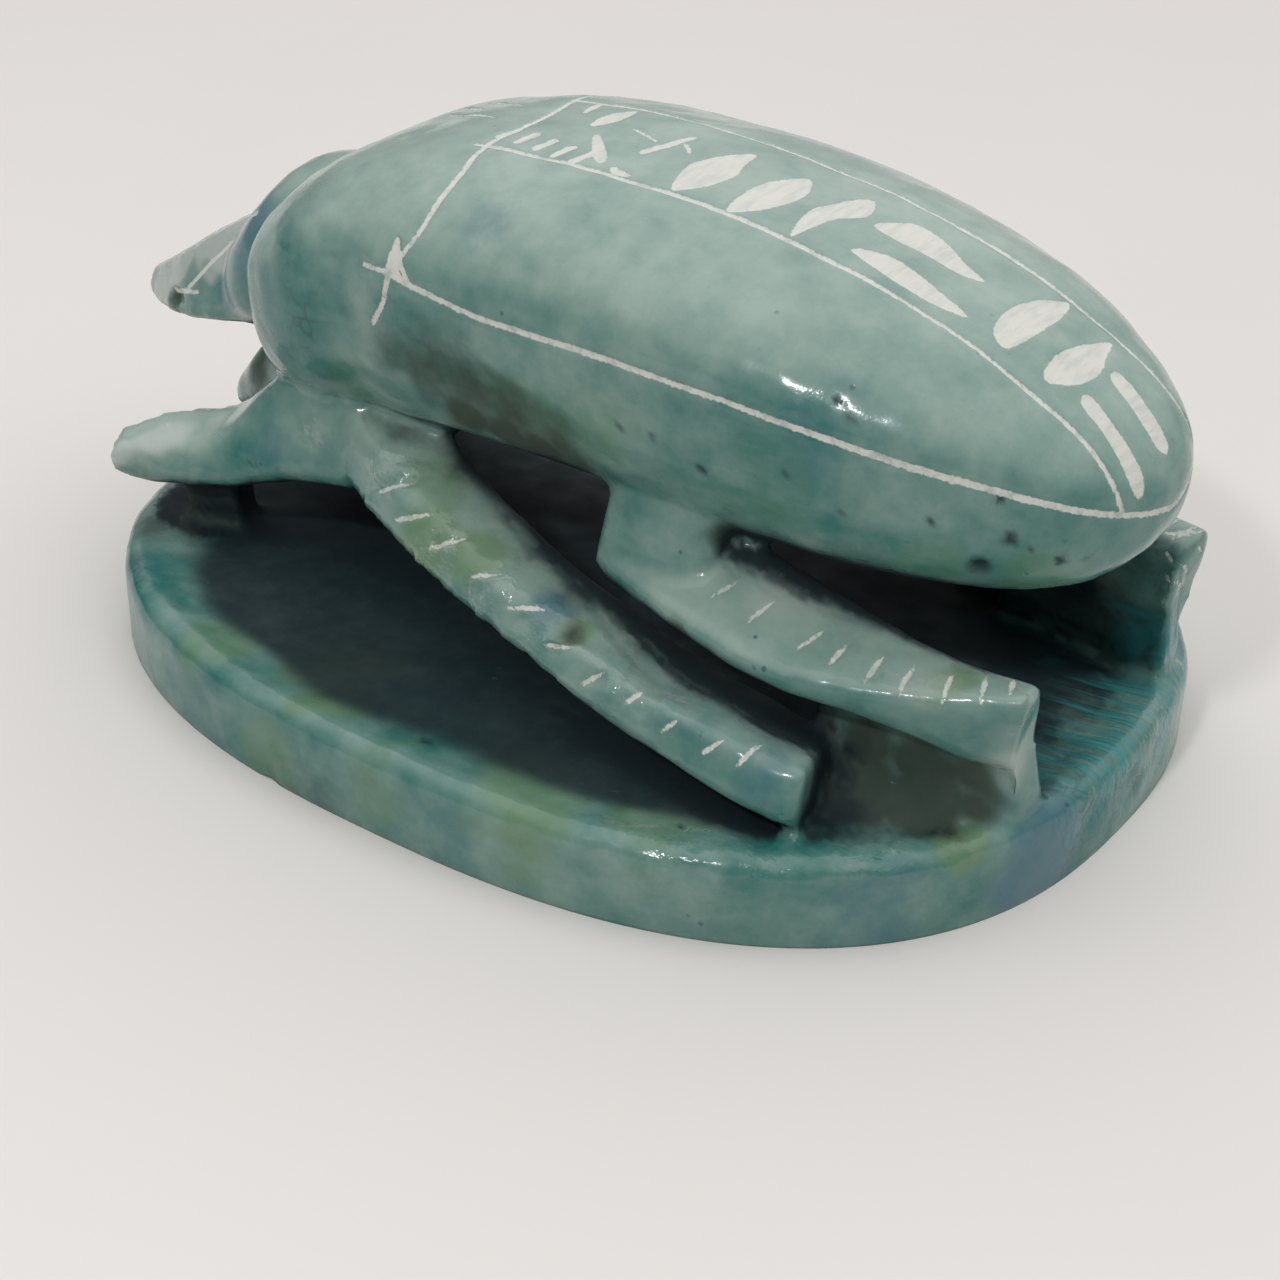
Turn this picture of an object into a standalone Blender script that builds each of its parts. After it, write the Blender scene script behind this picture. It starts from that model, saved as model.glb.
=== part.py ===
"""Souvenir scarab carved from one block of soapstone, with its oval base plate.

Metres, +Z up, head toward -Y, tail toward +Y, resting on the flat underside at z = 0.
"""
import math

import bmesh
import bpy

# The oval base plate
BASE_LENGTH = 0.100
BASE_WIDTH = 0.0765
BASE_THICKNESS = 0.0080
BASE_EXPONENT = 2.5
BASE_LIP_RADIUS = 0.0017
BASE_DISH_DEPTH = 0.0009

# The beetle's body, from the middle of the base
BELLY_CLEARANCE = 0.0150
BODY_BELLY_DEPTH = 0.0170
BODY_CROWN = 0.0092
BODY_CENTRE = 0.0017
BODY_FRONT = 0.0390
BODY_FRONT_CUT = 0.952
BODY_REAR = 0.0490
BODY_HALF_WIDTH = 0.0203
BODY_EDGE_DROP_FRONT = 0.0090
BODY_EDGE_DROP_REAR = 0.0078
BODY_EDGE_POWER_FRONT = 2.6
BODY_EDGE_POWER_REAR = 2.0
BODY_PLAN_FRONT = 3.6
BODY_PLAN_REAR = 2.35
BODY_ARCH_FRONT = 4.0
BODY_ARCH_REAR = 2.38
BODY_CROWN_EXPONENT = 2.25
BODY_BELLY_EXPONENT = 3.0
WAIST_PLACE = -0.0185
WAIST_LENGTH = 0.0035
WAIST_DEPTH = 0.045

# The head, in front of the neck
HEAD_LENGTH = 0.0248
HEAD_HALF_WIDTH = 0.0105
HEAD_HEIGHT = 0.0180

# Hand-cut legs: the far side reaches a little less than a mirror image of the near side
FAR_SIDE_REACH = 0.99
LEG_CORNER_EXPONENT = 5.0

# Surface and faceting
STONE_GRAIN = 0.0009
SOFTENING_ROUNDS = 3
SOFTENING_FACTOR = 0.5
FACET_COUNT = 7600
SHADE = (0.27, 0.46, 0.42, 1.0)

# Lengths that the tables below are written against
HALF_LENGTH = BASE_LENGTH / 2
HALF_WIDTH = BASE_WIDTH / 2
EDGE_HEIGHT = BASE_THICKNESS + BELLY_CLEARANCE + BODY_BELLY_DEPTH

# Leg corners at each station: inner top, outer top, outer bottom, inner bottom.
# Across and along are shares of the plate's half width and half length, up is a share of the
# clearance between plate and belly, so a leg always reaches from the belly to the plate.
FRONT_LEG = [
    [(0.144, -0.440, 1.12), (0.407, -0.412, 1.16), (0.490, -0.372, 0.62), (0.240, -0.360, 0.52)],
    [(0.228, -0.639, 1.08), (0.390, -0.603, 1.06), (0.498, -0.535, 0.54), (0.288, -0.531, 0.41)],
    [(0.302, -0.762, 0.72), (0.491, -0.718, 0.64), (0.527, -0.684, 0.37), (0.360, -0.669, 0.29)],
    [(0.383, -0.892, 0.61), (0.551, -0.848, 0.52), (0.565, -0.833, 0.28), (0.419, -0.827, 0.25)],
    [(0.486, -0.962, 0.50), (0.589, -0.920, 0.44), (0.584, -0.916, 0.30), (0.503, -0.944, 0.27)],
]
MIDDLE_LEG = [
    [(0.192, -0.311, 1.13), (0.407, -0.418, 1.08), (0.496, -0.387, 0.67), (0.287, -0.322, 0.59)],
    [(0.302, -0.261, 1.12), (0.515, -0.258, 0.95), (0.590, -0.225, 0.61), (0.359, -0.201, 0.54)],
    [(0.385, -0.091, 0.90), (0.587, -0.066, 0.79), (0.657, -0.042, 0.50), (0.411, -0.039, 0.42)],
    [(0.430, 0.131, 0.64), (0.647, 0.170, 0.65), (0.714, 0.172, 0.37), (0.430, 0.154, 0.28)],
    [(0.435, 0.354, 0.42), (0.695, 0.375, 0.54), (0.748, 0.380, 0.23), (0.435, 0.357, 0.10)],
    [(0.440, 0.575, 0.29), (0.700, 0.603, 0.45), (0.757, 0.610, 0.10), (0.440, 0.580, -0.05)],
    [(0.440, 0.640, 0.26), (0.685, 0.694, 0.41), (0.728, 0.696, 0.05), (0.440, 0.645, -0.05)],
]
REAR_LEG = [
    [(0.264, 0.186, 0.97), (0.489, 0.158, 0.87), (0.463, 0.181, 0.65), (0.288, 0.211, 0.68)],
    [(0.319, 0.383, 1.10), (0.587, 0.391, 0.81), (0.551, 0.408, 0.64), (0.336, 0.374, 0.63)],
    [(0.321, 0.565, 0.97), (0.606, 0.566, 0.78), (0.584, 0.569, 0.61), (0.336, 0.557, 0.54)],
    [(0.336, 0.707, 0.89), (0.570, 0.711, 0.79), (0.556, 0.710, 0.59), (0.331, 0.698, 0.42)],
    [(0.336, 0.829, 0.82), (0.501, 0.847, 0.82), (0.486, 0.846, 0.46), (0.319, 0.827, 0.22)],
    [(0.326, 0.931, 0.81), (0.446, 0.950, 0.88), (0.432, 0.950, 0.34), (0.292, 0.935, 0.12)],
    [(0.324, 0.951, 0.79), (0.440, 0.964, 0.88), (0.408, 0.952, 0.12), (0.276, 0.958, 0.04)],
]
THIGH = [
    [(0.280, 0.165, 0.77), (0.490, 0.150, 0.79), (0.500, 0.391, 0.85), (0.300, 0.389, 0.87)],
    [(0.240, 0.164, 1.24), (0.444, 0.162, 1.25), (0.452, 0.394, 1.27), (0.240, 0.385, 1.25)],
    [(0.180, 0.179, 1.71), (0.395, 0.181, 1.73), (0.405, 0.407, 1.75), (0.180, 0.393, 1.72)],
]
REAR_WEB = [
    [(0.360, 0.610, 0.59), (0.480, 0.614, 0.59), (0.500, 0.612, -0.11), (0.340, 0.597, -0.11)],
    [(0.350, 0.763, 0.57), (0.450, 0.767, 0.57), (0.470, 0.767, -0.10), (0.330, 0.750, -0.10)],
    [(0.325, 0.890, 0.45), (0.400, 0.895, 0.46), (0.410, 0.895, -0.09), (0.300, 0.890, -0.09)],
    [(0.300, 0.950, 0.42), (0.405, 0.952, 0.42), (0.385, 0.944, -0.09), (0.275, 0.955, -0.09)],
]
REAR_COVE = [
    [(0.400, 0.600, 0.32), (0.520, 0.600, 0.14), (0.640, 0.600, -0.12), (0.380, 0.600, -0.12)],
    [(0.370, 0.760, 0.32), (0.480, 0.765, 0.13), (0.600, 0.765, -0.12), (0.350, 0.760, -0.12)],
    [(0.310, 0.900, 0.30), (0.390, 0.905, 0.12), (0.460, 0.905, -0.12), (0.290, 0.900, -0.12)],
]
FRONT_WEB = [
    [(0.330, -0.740, 0.43), (0.440, -0.700, 0.44), (0.420, -0.700, -0.20), (0.310, -0.740, -0.21)],
    [(0.400, -0.850, 0.39), (0.490, -0.820, 0.40), (0.460, -0.800, -0.21), (0.360, -0.830, -0.21)],
]

# Breast block that the front and middle legs grow from: along, half width, top, bottom
BREAST = [
    (-0.300, 0.240, 1.29, 0.91),
    (-0.420, 0.290, 1.29, 0.60),
    (-0.560, 0.290, 1.18, 0.47),
    (-0.700, 0.270, 1.10, 0.38),
    (-0.830, 0.210, 0.91, 0.33),
    (-0.905, 0.160, 0.58, 0.32),
]

# The head's dome in shares of the head's own sizes: forward of the neck, half width, then top,
# bottom and widest point above the neck line
HEAD = [
    (-0.218, 1.002, 0.470, -0.470, -0.073),
    (0.105, 0.960, 0.395, -0.510, -0.140),
    (0.250, 0.870, 0.190, -0.530, -0.210),
    (0.350, 0.720, 0.040, -0.530, -0.260),
    (0.430, 0.480, -0.100, -0.520, -0.300),
    (0.475, 0.200, -0.200, -0.500, -0.340),
]
# The shield in front of it, in the same shares: forward, half width and height of the flat top,
# half width and height of the underside
SHIELD = [
    (0.100, 0.280, 0.100, 0.900, -0.440),
    (0.305, 0.290, 0.045, 0.880, -0.510),
    (0.479, 0.300, -0.055, 0.810, -0.570),
    (0.696, 0.300, -0.245, 0.640, -0.640),
    (0.870, 0.260, -0.412, 0.440, -0.670),
    (0.992, 0.190, -0.520, 0.270, -0.650),
]
HEAD_ROOF_EXPONENT = 2.0
HEAD_JAW_EXPONENT = 2.6


def place(across, along, up, side=1.0):
    """Turns leg shares into metres for the near (+1) or far (-1) side."""
    reach = 1.0 if side > 0 else FAR_SIDE_REACH
    height = BASE_THICKNESS + up * BELLY_CLEARANCE
    return (side * across * HALF_WIDTH, along * reach * HALF_LENGTH, height)


def bow(angle, exponent):
    """Cosine and sine bent to a superellipse."""
    c = math.cos(angle)
    s = math.sin(angle)
    return (
        math.copysign(abs(c) ** (2 / exponent), c),
        math.copysign(abs(s) ** (2 / exponent), s),
    )


def closed_solid(name, rings):
    """Joins equal rings into one closed mesh, with a fan over each end."""
    bm = bmesh.new()
    rows = [[bm.verts.new(p) for p in ring] for ring in rings]
    count = len(rows[0])
    for low, high in zip(rows, rows[1:]):
        for i in range(count):
            j = (i + 1) % count
            bm.faces.new((low[i], low[j], high[j], high[i]))
    for row in (rows[0], rows[-1]):
        middle = [sum(v.co[k] for v in row) / count for k in range(3)]
        centre = bm.verts.new(middle)
        for i in range(count):
            bm.faces.new((row[i], row[(i + 1) % count], centre))
    bmesh.ops.recalc_face_normals(bm, faces=bm.faces)
    if bm.calc_volume(signed=True) < 0:
        bmesh.ops.reverse_faces(bm, faces=bm.faces)
    mesh = bpy.data.meshes.new(name)
    bm.to_mesh(mesh)
    bm.free()
    return mesh


def curve_through(stations, t):
    """Point lists blended by a Catmull-Rom curve; t runs from 0 to the last station."""
    last = len(stations) - 1
    i = min(int(t), last - 1)
    f = t - i
    rows = [stations[min(max(i + k, 0), last)] for k in (-1, 0, 1, 2)]
    out = []
    for p0, p1, p2, p3 in zip(*rows):
        point = []
        for a, b, c, d in zip(p0, p1, p2, p3):
            point.append(
                b
                + 0.5 * f * (c - a + f * (2 * a - 5 * b + 4 * c - d + f * (3 * (b - c) + d - a)))
            )
        out.append(tuple(point))
    return out


def limb_rings(stations, side, steps):
    """Four-cornered rings with rounded corners along a limb."""
    rings = []
    total = (len(stations) - 1) * steps
    for k in range(total + 1):
        corners = [place(*p, side) for p in curve_through(stations, k / steps)]
        inner_top, outer_top, outer_low, inner_low = corners
        ring = []
        for i in range(20):
            u, v = bow(2 * math.pi * i / 20, LEG_CORNER_EXPONENT)
            point = []
            for a, b, c, d in zip(inner_top, outer_top, outer_low, inner_low):
                upper = a * (1 - u) / 2 + b * (1 + u) / 2
                lower = d * (1 - u) / 2 + c * (1 + u) / 2
                point.append(lower * (1 - v) / 2 + upper * (1 + v) / 2)
            ring.append(tuple(point))
        rings.append(ring)
    return rings


def base_rings():
    """Oval plate: straight side, rounded upper lip, slightly dished top."""
    outline = []
    for k in range(96):
        c, s = bow(2 * math.pi * k / 96, BASE_EXPONENT)
        outline.append((c, s))
    levels = [(0.0, -0.3 * BASE_THICKNESS), (0.0, BASE_THICKNESS - BASE_LIP_RADIUS)]
    for k in range(1, 5):
        a = math.pi / 8 * k
        inset = BASE_LIP_RADIUS * (1 - math.cos(a))
        height = BASE_THICKNESS - BASE_LIP_RADIUS * (1 - math.sin(a))
        levels.append((inset, height))
    levels.append((2.5 * BASE_LIP_RADIUS, BASE_THICKNESS - 0.5 * BASE_DISH_DEPTH))
    levels.append((6 * BASE_LIP_RADIUS, BASE_THICKNESS - BASE_DISH_DEPTH))
    rings = []
    for inset, height in levels:
        ring = [((HALF_WIDTH - inset) * c, (HALF_LENGTH - inset) * s, height) for c, s in outline]
        rings.append(ring)
    return rings


def body_size(y):
    """Half width, widest height, crown rise and belly depth of the body at y."""
    offset = y - BODY_CENTRE
    if offset < 0:
        t = min(-offset / BODY_FRONT, 1.0)
        width = (1 - t ** BODY_PLAN_FRONT) ** (1 / BODY_PLAN_FRONT)
        arch = (1 - t ** BODY_ARCH_FRONT) ** (1 / BODY_ARCH_FRONT)
        drop = BODY_EDGE_DROP_FRONT * t ** BODY_EDGE_POWER_FRONT
    else:
        t = min(offset / BODY_REAR, 1.0)
        width = (1 - t ** BODY_PLAN_REAR) ** (1 / BODY_PLAN_REAR)
        arch = (1 - t ** BODY_ARCH_REAR) ** (1 / BODY_ARCH_REAR)
        drop = BODY_EDGE_DROP_REAR * t ** BODY_EDGE_POWER_REAR
    pinch = 1 - WAIST_DEPTH * math.exp(-(((y - WAIST_PLACE) / WAIST_LENGTH) ** 2))
    crown = BODY_CROWN * arch
    belly = BODY_BELLY_DEPTH * (0.5 * arch + 0.5 * width)
    return BODY_HALF_WIDTH * width * pinch, EDGE_HEIGHT - drop, crown, belly


def body_rings():
    """Cross sections of the dome and belly from the neck to the tail."""
    rings = []
    for k in range(4, 41):
        share = -math.cos(math.pi * k / 40)
        share = max(-BODY_FRONT_CUT, min(share, 0.999))
        y = BODY_CENTRE + share * (BODY_FRONT if share < 0 else BODY_REAR)
        half, edge, crown, belly = body_size(y)
        ring = []
        for i in range(64):
            angle = 2 * math.pi * i / 64
            up = math.sin(angle) >= 0
            c, s = bow(angle, BODY_CROWN_EXPONENT if up else BODY_BELLY_EXPONENT)
            ring.append((half * c, y, edge + (crown if up else belly) * s))
        rings.append(ring)
    return rings


def head_rings():
    """Dome-shaped cross sections from inside the neck to the notch behind the shield."""
    stations = [[row] for row in HEAD]
    neck = BODY_CENTRE - BODY_FRONT_CUT * BODY_FRONT
    line = body_size(neck)[1]
    rings = []
    steps = 4
    for k in range((len(HEAD) - 1) * steps + 1):
        forward, half, top, bottom, widest = curve_through(stations, k / steps)[0]
        ring = []
        for i in range(32):
            angle = 2 * math.pi * i / 32
            up = math.sin(angle) >= 0
            c, s = bow(angle, HEAD_ROOF_EXPONENT if up else HEAD_JAW_EXPONENT)
            reach = (top - widest) if up else (widest - bottom)
            x = half * c * HEAD_HALF_WIDTH
            z = line + (widest + reach * s) * HEAD_HEIGHT
            ring.append((x, neck - forward * HEAD_LENGTH, z))
        rings.append(ring)
    return rings


def shield_rings():
    """Flat-topped wedge with sloping sides in front of the head."""
    stations = [[row] for row in SHIELD]
    neck = BODY_CENTRE - BODY_FRONT_CUT * BODY_FRONT
    line = body_size(neck)[1]
    rings = []
    steps = 4
    for k in range((len(SHIELD) - 1) * steps + 1):
        forward, half_top, top, half_low, low = curve_through(stations, k / steps)[0]
        ring = []
        for i in range(32):
            u, v = bow(2 * math.pi * i / 32, LEG_CORNER_EXPONENT)
            half = half_low * (1 - v) / 2 + half_top * (1 + v) / 2
            height = low * (1 - v) / 2 + top * (1 + v) / 2
            x = half * u * HEAD_HALF_WIDTH
            ring.append((x, neck - forward * HEAD_LENGTH, line + height * HEAD_HEIGHT))
        rings.append(ring)
    return rings


def breast_rings():
    """Rounded block under the head that ties the front legs together."""
    rings = []
    for along, half, top, bottom in BREAST:
        ring = []
        for i in range(24):
            c, s = bow(2 * math.pi * i / 24, 3.0)
            ring.append(place(half * c, along, (top + bottom) / 2 + (top - bottom) / 2 * s))
        rings.append(ring)
    return rings


def soapstone():
    """Dyed, varnished soapstone."""
    material = bpy.data.materials.new("dyed_soapstone")
    material.use_nodes = True
    shader = material.node_tree.nodes["Principled BSDF"]
    shader.inputs["Base Color"].default_value = SHADE
    shader.inputs["Roughness"].default_value = 0.25
    material.diffuse_color = SHADE
    return material


def add_object(name, mesh):
    """Links a mesh to the scene as one object."""
    thing = bpy.data.objects.new(name, mesh)
    bpy.context.scene.collection.objects.link(thing)
    return thing


def measure(thing):
    """Triangle count and corner points of an object as its modifiers leave it."""
    bpy.context.view_layer.update()
    evaluated = thing.evaluated_get(bpy.context.evaluated_depsgraph_get())
    mesh = evaluated.to_mesh()
    triangles = sum(len(face.vertices) - 2 for face in mesh.polygons)
    corners = [vertex.co.copy() for vertex in mesh.vertices]
    evaluated.to_mesh_clear()
    return triangles, corners


def main():
    for old in list(bpy.data.objects):
        bpy.data.objects.remove(old)

    lumps = [base_rings(), body_rings(), head_rings(), shield_rings(), breast_rings()]
    for side in (1.0, -1.0):
        for stations in (FRONT_LEG, MIDDLE_LEG, REAR_LEG):
            lumps.append(limb_rings(stations, side, 5))
        for stations in (THIGH, REAR_WEB, REAR_COVE, FRONT_WEB):
            lumps.append(limb_rings(stations, side, 3))

    bm = bmesh.new()
    for rings in lumps:
        piece = closed_solid("lump", rings)
        bm.from_mesh(piece)
        bpy.data.meshes.remove(piece)
    mesh = bpy.data.meshes.new("scarab")
    bm.to_mesh(mesh)
    bm.free()
    scarab = add_object("scarab", mesh)
    scarab.data.materials.append(soapstone())

    # One skin over all the lumps, softened as the stone was rubbed down
    skin = scarab.modifiers.new("one_skin", "REMESH")
    skin.mode = "VOXEL"
    skin.voxel_size = STONE_GRAIN
    soften = scarab.modifiers.new("soften", "SMOOTH")
    soften.factor = SOFTENING_FACTOR
    soften.iterations = SOFTENING_ROUNDS
    facets = scarab.modifiers.new("facets", "DECIMATE")
    facets.decimate_type = "COLLAPSE"
    facets.ratio = 1.0
    triangles, corners = measure(scarab)
    facets.ratio = min(1.0, FACET_COUNT / triangles)

    # The origin sits under the middle of the whole carving, head included
    triangles, corners = measure(scarab)
    for axis in (0, 1):
        values = [corner[axis] for corner in corners]
        scarab.location[axis] = -(min(values) + max(values)) / 2

    # Flat underside at z = 0
    reach = 2 * BASE_LENGTH
    low = -reach
    ring_low = [(-reach, -reach, low), (reach, -reach, low), (reach, reach, low), (-reach, reach, low)]
    ring_high = [(x, y, 0.0) for x, y, z in ring_low]
    floor = add_object("floor_cutter", closed_solid("floor_cutter", [ring_low, ring_high]))
    floor.hide_render = True
    floor.display_type = "WIRE"
    trim = scarab.modifiers.new("flat_underside", "BOOLEAN")
    trim.operation = "DIFFERENCE"
    trim.solver = "EXACT"
    trim.object = floor


main()
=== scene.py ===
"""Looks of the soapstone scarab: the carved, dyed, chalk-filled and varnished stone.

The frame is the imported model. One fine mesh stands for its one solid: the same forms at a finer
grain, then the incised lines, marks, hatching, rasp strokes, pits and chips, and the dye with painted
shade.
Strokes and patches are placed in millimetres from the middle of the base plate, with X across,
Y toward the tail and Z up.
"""
import math
import random

import bmesh
import bpy
import numpy as np
from mathutils import Matrix, Vector
from mathutils.bvhtree import BVHTree
from mathutils.kdtree import KDTree


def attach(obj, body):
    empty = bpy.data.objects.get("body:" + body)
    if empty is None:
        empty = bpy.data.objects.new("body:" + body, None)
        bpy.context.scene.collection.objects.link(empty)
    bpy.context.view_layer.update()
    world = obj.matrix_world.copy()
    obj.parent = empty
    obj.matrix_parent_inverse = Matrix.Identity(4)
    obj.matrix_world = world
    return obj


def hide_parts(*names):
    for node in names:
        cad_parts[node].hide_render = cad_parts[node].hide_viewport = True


# The oval base plate
BASE_LENGTH = 0.100
BASE_WIDTH = 0.0765
BASE_THICKNESS = 0.0080
BASE_EXPONENT = 2.5
BASE_LIP_RADIUS = 0.0017
BASE_DISH_DEPTH = 0.0009

# The beetle's body, from the middle of the base
BELLY_CLEARANCE = 0.0150
BODY_BELLY_DEPTH = 0.0170
BODY_CROWN = 0.0092
BODY_CENTRE = 0.0017
BODY_FRONT = 0.0390
BODY_FRONT_CUT = 0.952
BODY_REAR = 0.0490
BODY_HALF_WIDTH = 0.0203
BODY_EDGE_DROP_FRONT = 0.0090
BODY_EDGE_DROP_REAR = 0.0078
BODY_EDGE_POWER_FRONT = 2.6
BODY_EDGE_POWER_REAR = 2.0
BODY_PLAN_FRONT = 3.6
BODY_PLAN_REAR = 2.35
BODY_ARCH_FRONT = 4.0
BODY_ARCH_REAR = 2.38
BODY_CROWN_EXPONENT = 2.25
BODY_BELLY_EXPONENT = 3.0
WAIST_PLACE = -0.0185
WAIST_LENGTH = 0.0035
WAIST_DEPTH = 0.045

# The head, in front of the neck
HEAD_LENGTH = 0.0248
HEAD_HALF_WIDTH = 0.0105
HEAD_HEIGHT = 0.0180

# Hand-cut legs: the far side reaches a little less than a mirror image of the near side
FAR_SIDE_REACH = 0.99
LEG_CORNER_EXPONENT = 5.0

# Fineness of the forms: points round each ring, rings along each form, and where the body's
# first and last rings lie
BASE_POINTS = 360
BODY_POINTS = 160
HEAD_POINTS = 80
BREAST_POINTS = 48
LEG_POINTS = 40
LIP_STEPS = 4
BODY_STEPS = 120
BODY_FIRST_STEP = 12
BODY_REAR_CUT = 0.999
HEAD_STEPS = 10
LEG_STEPS = 12
WEB_STEPS = 8

# Surface of the fine mesh; faces nearer than the band to a stroke's edge, in millimetres, are split
STONE_GRAIN = 0.000615
SOFTENING_ROUNDS = 3
SOFTENING_FACTOR = 0.5
REFINED_BAND = 0.55

# Lengths that the tables below are written against
HALF_LENGTH = BASE_LENGTH / 2
HALF_WIDTH = BASE_WIDTH / 2
EDGE_HEIGHT = BASE_THICKNESS + BELLY_CLEARANCE + BODY_BELLY_DEPTH

# Leg corners at each station: inner top, outer top, outer bottom, inner bottom.
# Across and along are shares of the plate's half width and half length, up is a share of the
# clearance between plate and belly, so a leg always reaches from the belly to the plate.
FRONT_LEG = [
    [(0.144, -0.440, 1.12), (0.407, -0.412, 1.16), (0.490, -0.372, 0.62), (0.240, -0.360, 0.52)],
    [(0.228, -0.639, 1.08), (0.390, -0.603, 1.06), (0.498, -0.535, 0.54), (0.288, -0.531, 0.41)],
    [(0.302, -0.762, 0.72), (0.491, -0.718, 0.64), (0.527, -0.684, 0.37), (0.360, -0.669, 0.29)],
    [(0.383, -0.892, 0.61), (0.551, -0.848, 0.52), (0.565, -0.833, 0.28), (0.419, -0.827, 0.25)],
    [(0.486, -0.962, 0.50), (0.589, -0.920, 0.44), (0.584, -0.916, 0.30), (0.503, -0.944, 0.27)],
]
MIDDLE_LEG = [
    [(0.192, -0.311, 1.13), (0.407, -0.418, 1.08), (0.496, -0.387, 0.67), (0.287, -0.322, 0.59)],
    [(0.302, -0.261, 1.12), (0.515, -0.258, 0.95), (0.590, -0.225, 0.61), (0.359, -0.201, 0.54)],
    [(0.385, -0.091, 0.90), (0.587, -0.066, 0.79), (0.657, -0.042, 0.50), (0.411, -0.039, 0.42)],
    [(0.430, 0.131, 0.64), (0.647, 0.170, 0.65), (0.714, 0.172, 0.37), (0.430, 0.154, 0.28)],
    [(0.435, 0.354, 0.42), (0.695, 0.375, 0.54), (0.748, 0.380, 0.23), (0.435, 0.357, 0.10)],
    [(0.440, 0.575, 0.29), (0.700, 0.603, 0.45), (0.757, 0.610, 0.10), (0.440, 0.580, -0.05)],
    [(0.440, 0.640, 0.26), (0.685, 0.694, 0.41), (0.728, 0.696, 0.05), (0.440, 0.645, -0.05)],
]
REAR_LEG = [
    [(0.264, 0.186, 0.97), (0.489, 0.158, 0.87), (0.463, 0.181, 0.65), (0.288, 0.211, 0.68)],
    [(0.319, 0.383, 1.10), (0.587, 0.391, 0.81), (0.551, 0.408, 0.64), (0.336, 0.374, 0.63)],
    [(0.321, 0.565, 0.97), (0.606, 0.566, 0.78), (0.584, 0.569, 0.61), (0.336, 0.557, 0.54)],
    [(0.336, 0.707, 0.89), (0.570, 0.711, 0.79), (0.556, 0.710, 0.59), (0.331, 0.698, 0.42)],
    [(0.336, 0.829, 0.82), (0.501, 0.847, 0.82), (0.486, 0.846, 0.46), (0.319, 0.827, 0.22)],
    [(0.326, 0.931, 0.81), (0.446, 0.950, 0.88), (0.432, 0.950, 0.34), (0.292, 0.935, 0.12)],
    [(0.324, 0.951, 0.79), (0.440, 0.964, 0.88), (0.408, 0.952, 0.12), (0.276, 0.958, 0.04)],
]
THIGH = [
    [(0.280, 0.165, 0.77), (0.490, 0.150, 0.79), (0.500, 0.391, 0.85), (0.300, 0.389, 0.87)],
    [(0.240, 0.164, 1.24), (0.444, 0.162, 1.25), (0.452, 0.394, 1.27), (0.240, 0.385, 1.25)],
    [(0.180, 0.179, 1.71), (0.395, 0.181, 1.73), (0.405, 0.407, 1.75), (0.180, 0.393, 1.72)],
]
REAR_WEB = [
    [(0.360, 0.610, 0.59), (0.480, 0.614, 0.59), (0.500, 0.612, -0.11), (0.340, 0.597, -0.11)],
    [(0.350, 0.763, 0.57), (0.450, 0.767, 0.57), (0.470, 0.767, -0.10), (0.330, 0.750, -0.10)],
    [(0.325, 0.890, 0.45), (0.400, 0.895, 0.46), (0.410, 0.895, -0.09), (0.300, 0.890, -0.09)],
    [(0.300, 0.950, 0.42), (0.405, 0.952, 0.42), (0.385, 0.944, -0.09), (0.275, 0.955, -0.09)],
]
REAR_COVE = [
    [(0.400, 0.600, 0.32), (0.520, 0.600, 0.14), (0.640, 0.600, -0.12), (0.380, 0.600, -0.12)],
    [(0.370, 0.760, 0.32), (0.480, 0.765, 0.13), (0.600, 0.765, -0.12), (0.350, 0.760, -0.12)],
    [(0.310, 0.900, 0.30), (0.390, 0.905, 0.12), (0.460, 0.905, -0.12), (0.290, 0.900, -0.12)],
]
FRONT_WEB = [
    [(0.330, -0.740, 0.43), (0.440, -0.700, 0.44), (0.420, -0.700, -0.20), (0.310, -0.740, -0.21)],
    [(0.400, -0.850, 0.39), (0.490, -0.820, 0.40), (0.460, -0.800, -0.21), (0.360, -0.830, -0.21)],
]

# Breast block that the front and middle legs grow from: along, half width, top, bottom
BREAST = [
    (-0.300, 0.240, 1.29, 0.91),
    (-0.420, 0.290, 1.29, 0.60),
    (-0.560, 0.290, 1.18, 0.47),
    (-0.700, 0.270, 1.10, 0.38),
    (-0.830, 0.210, 0.91, 0.33),
    (-0.905, 0.160, 0.58, 0.32),
]

# The head's dome in shares of the head's own sizes: forward of the neck, half width, then top,
# bottom and widest point above the neck line
HEAD = [
    (-0.218, 1.002, 0.470, -0.470, -0.073),
    (0.105, 0.960, 0.395, -0.510, -0.140),
    (0.250, 0.870, 0.190, -0.530, -0.210),
    (0.350, 0.720, 0.040, -0.530, -0.260),
    (0.430, 0.480, -0.100, -0.520, -0.300),
    (0.475, 0.200, -0.200, -0.500, -0.340),
]
# The shield in front of it, in the same shares: forward, half width and height of the flat top,
# half width and height of the underside
SHIELD = [
    (0.100, 0.280, 0.100, 0.900, -0.440),
    (0.305, 0.290, 0.045, 0.880, -0.510),
    (0.479, 0.300, -0.055, 0.810, -0.570),
    (0.696, 0.300, -0.245, 0.640, -0.640),
    (0.870, 0.260, -0.412, 0.440, -0.670),
    (0.992, 0.190, -0.520, 0.270, -0.650),
]
HEAD_ROOF_EXPONENT = 2.0
HEAD_JAW_EXPONENT = 2.6
BREAST_EXPONENT = 3.0

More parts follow.
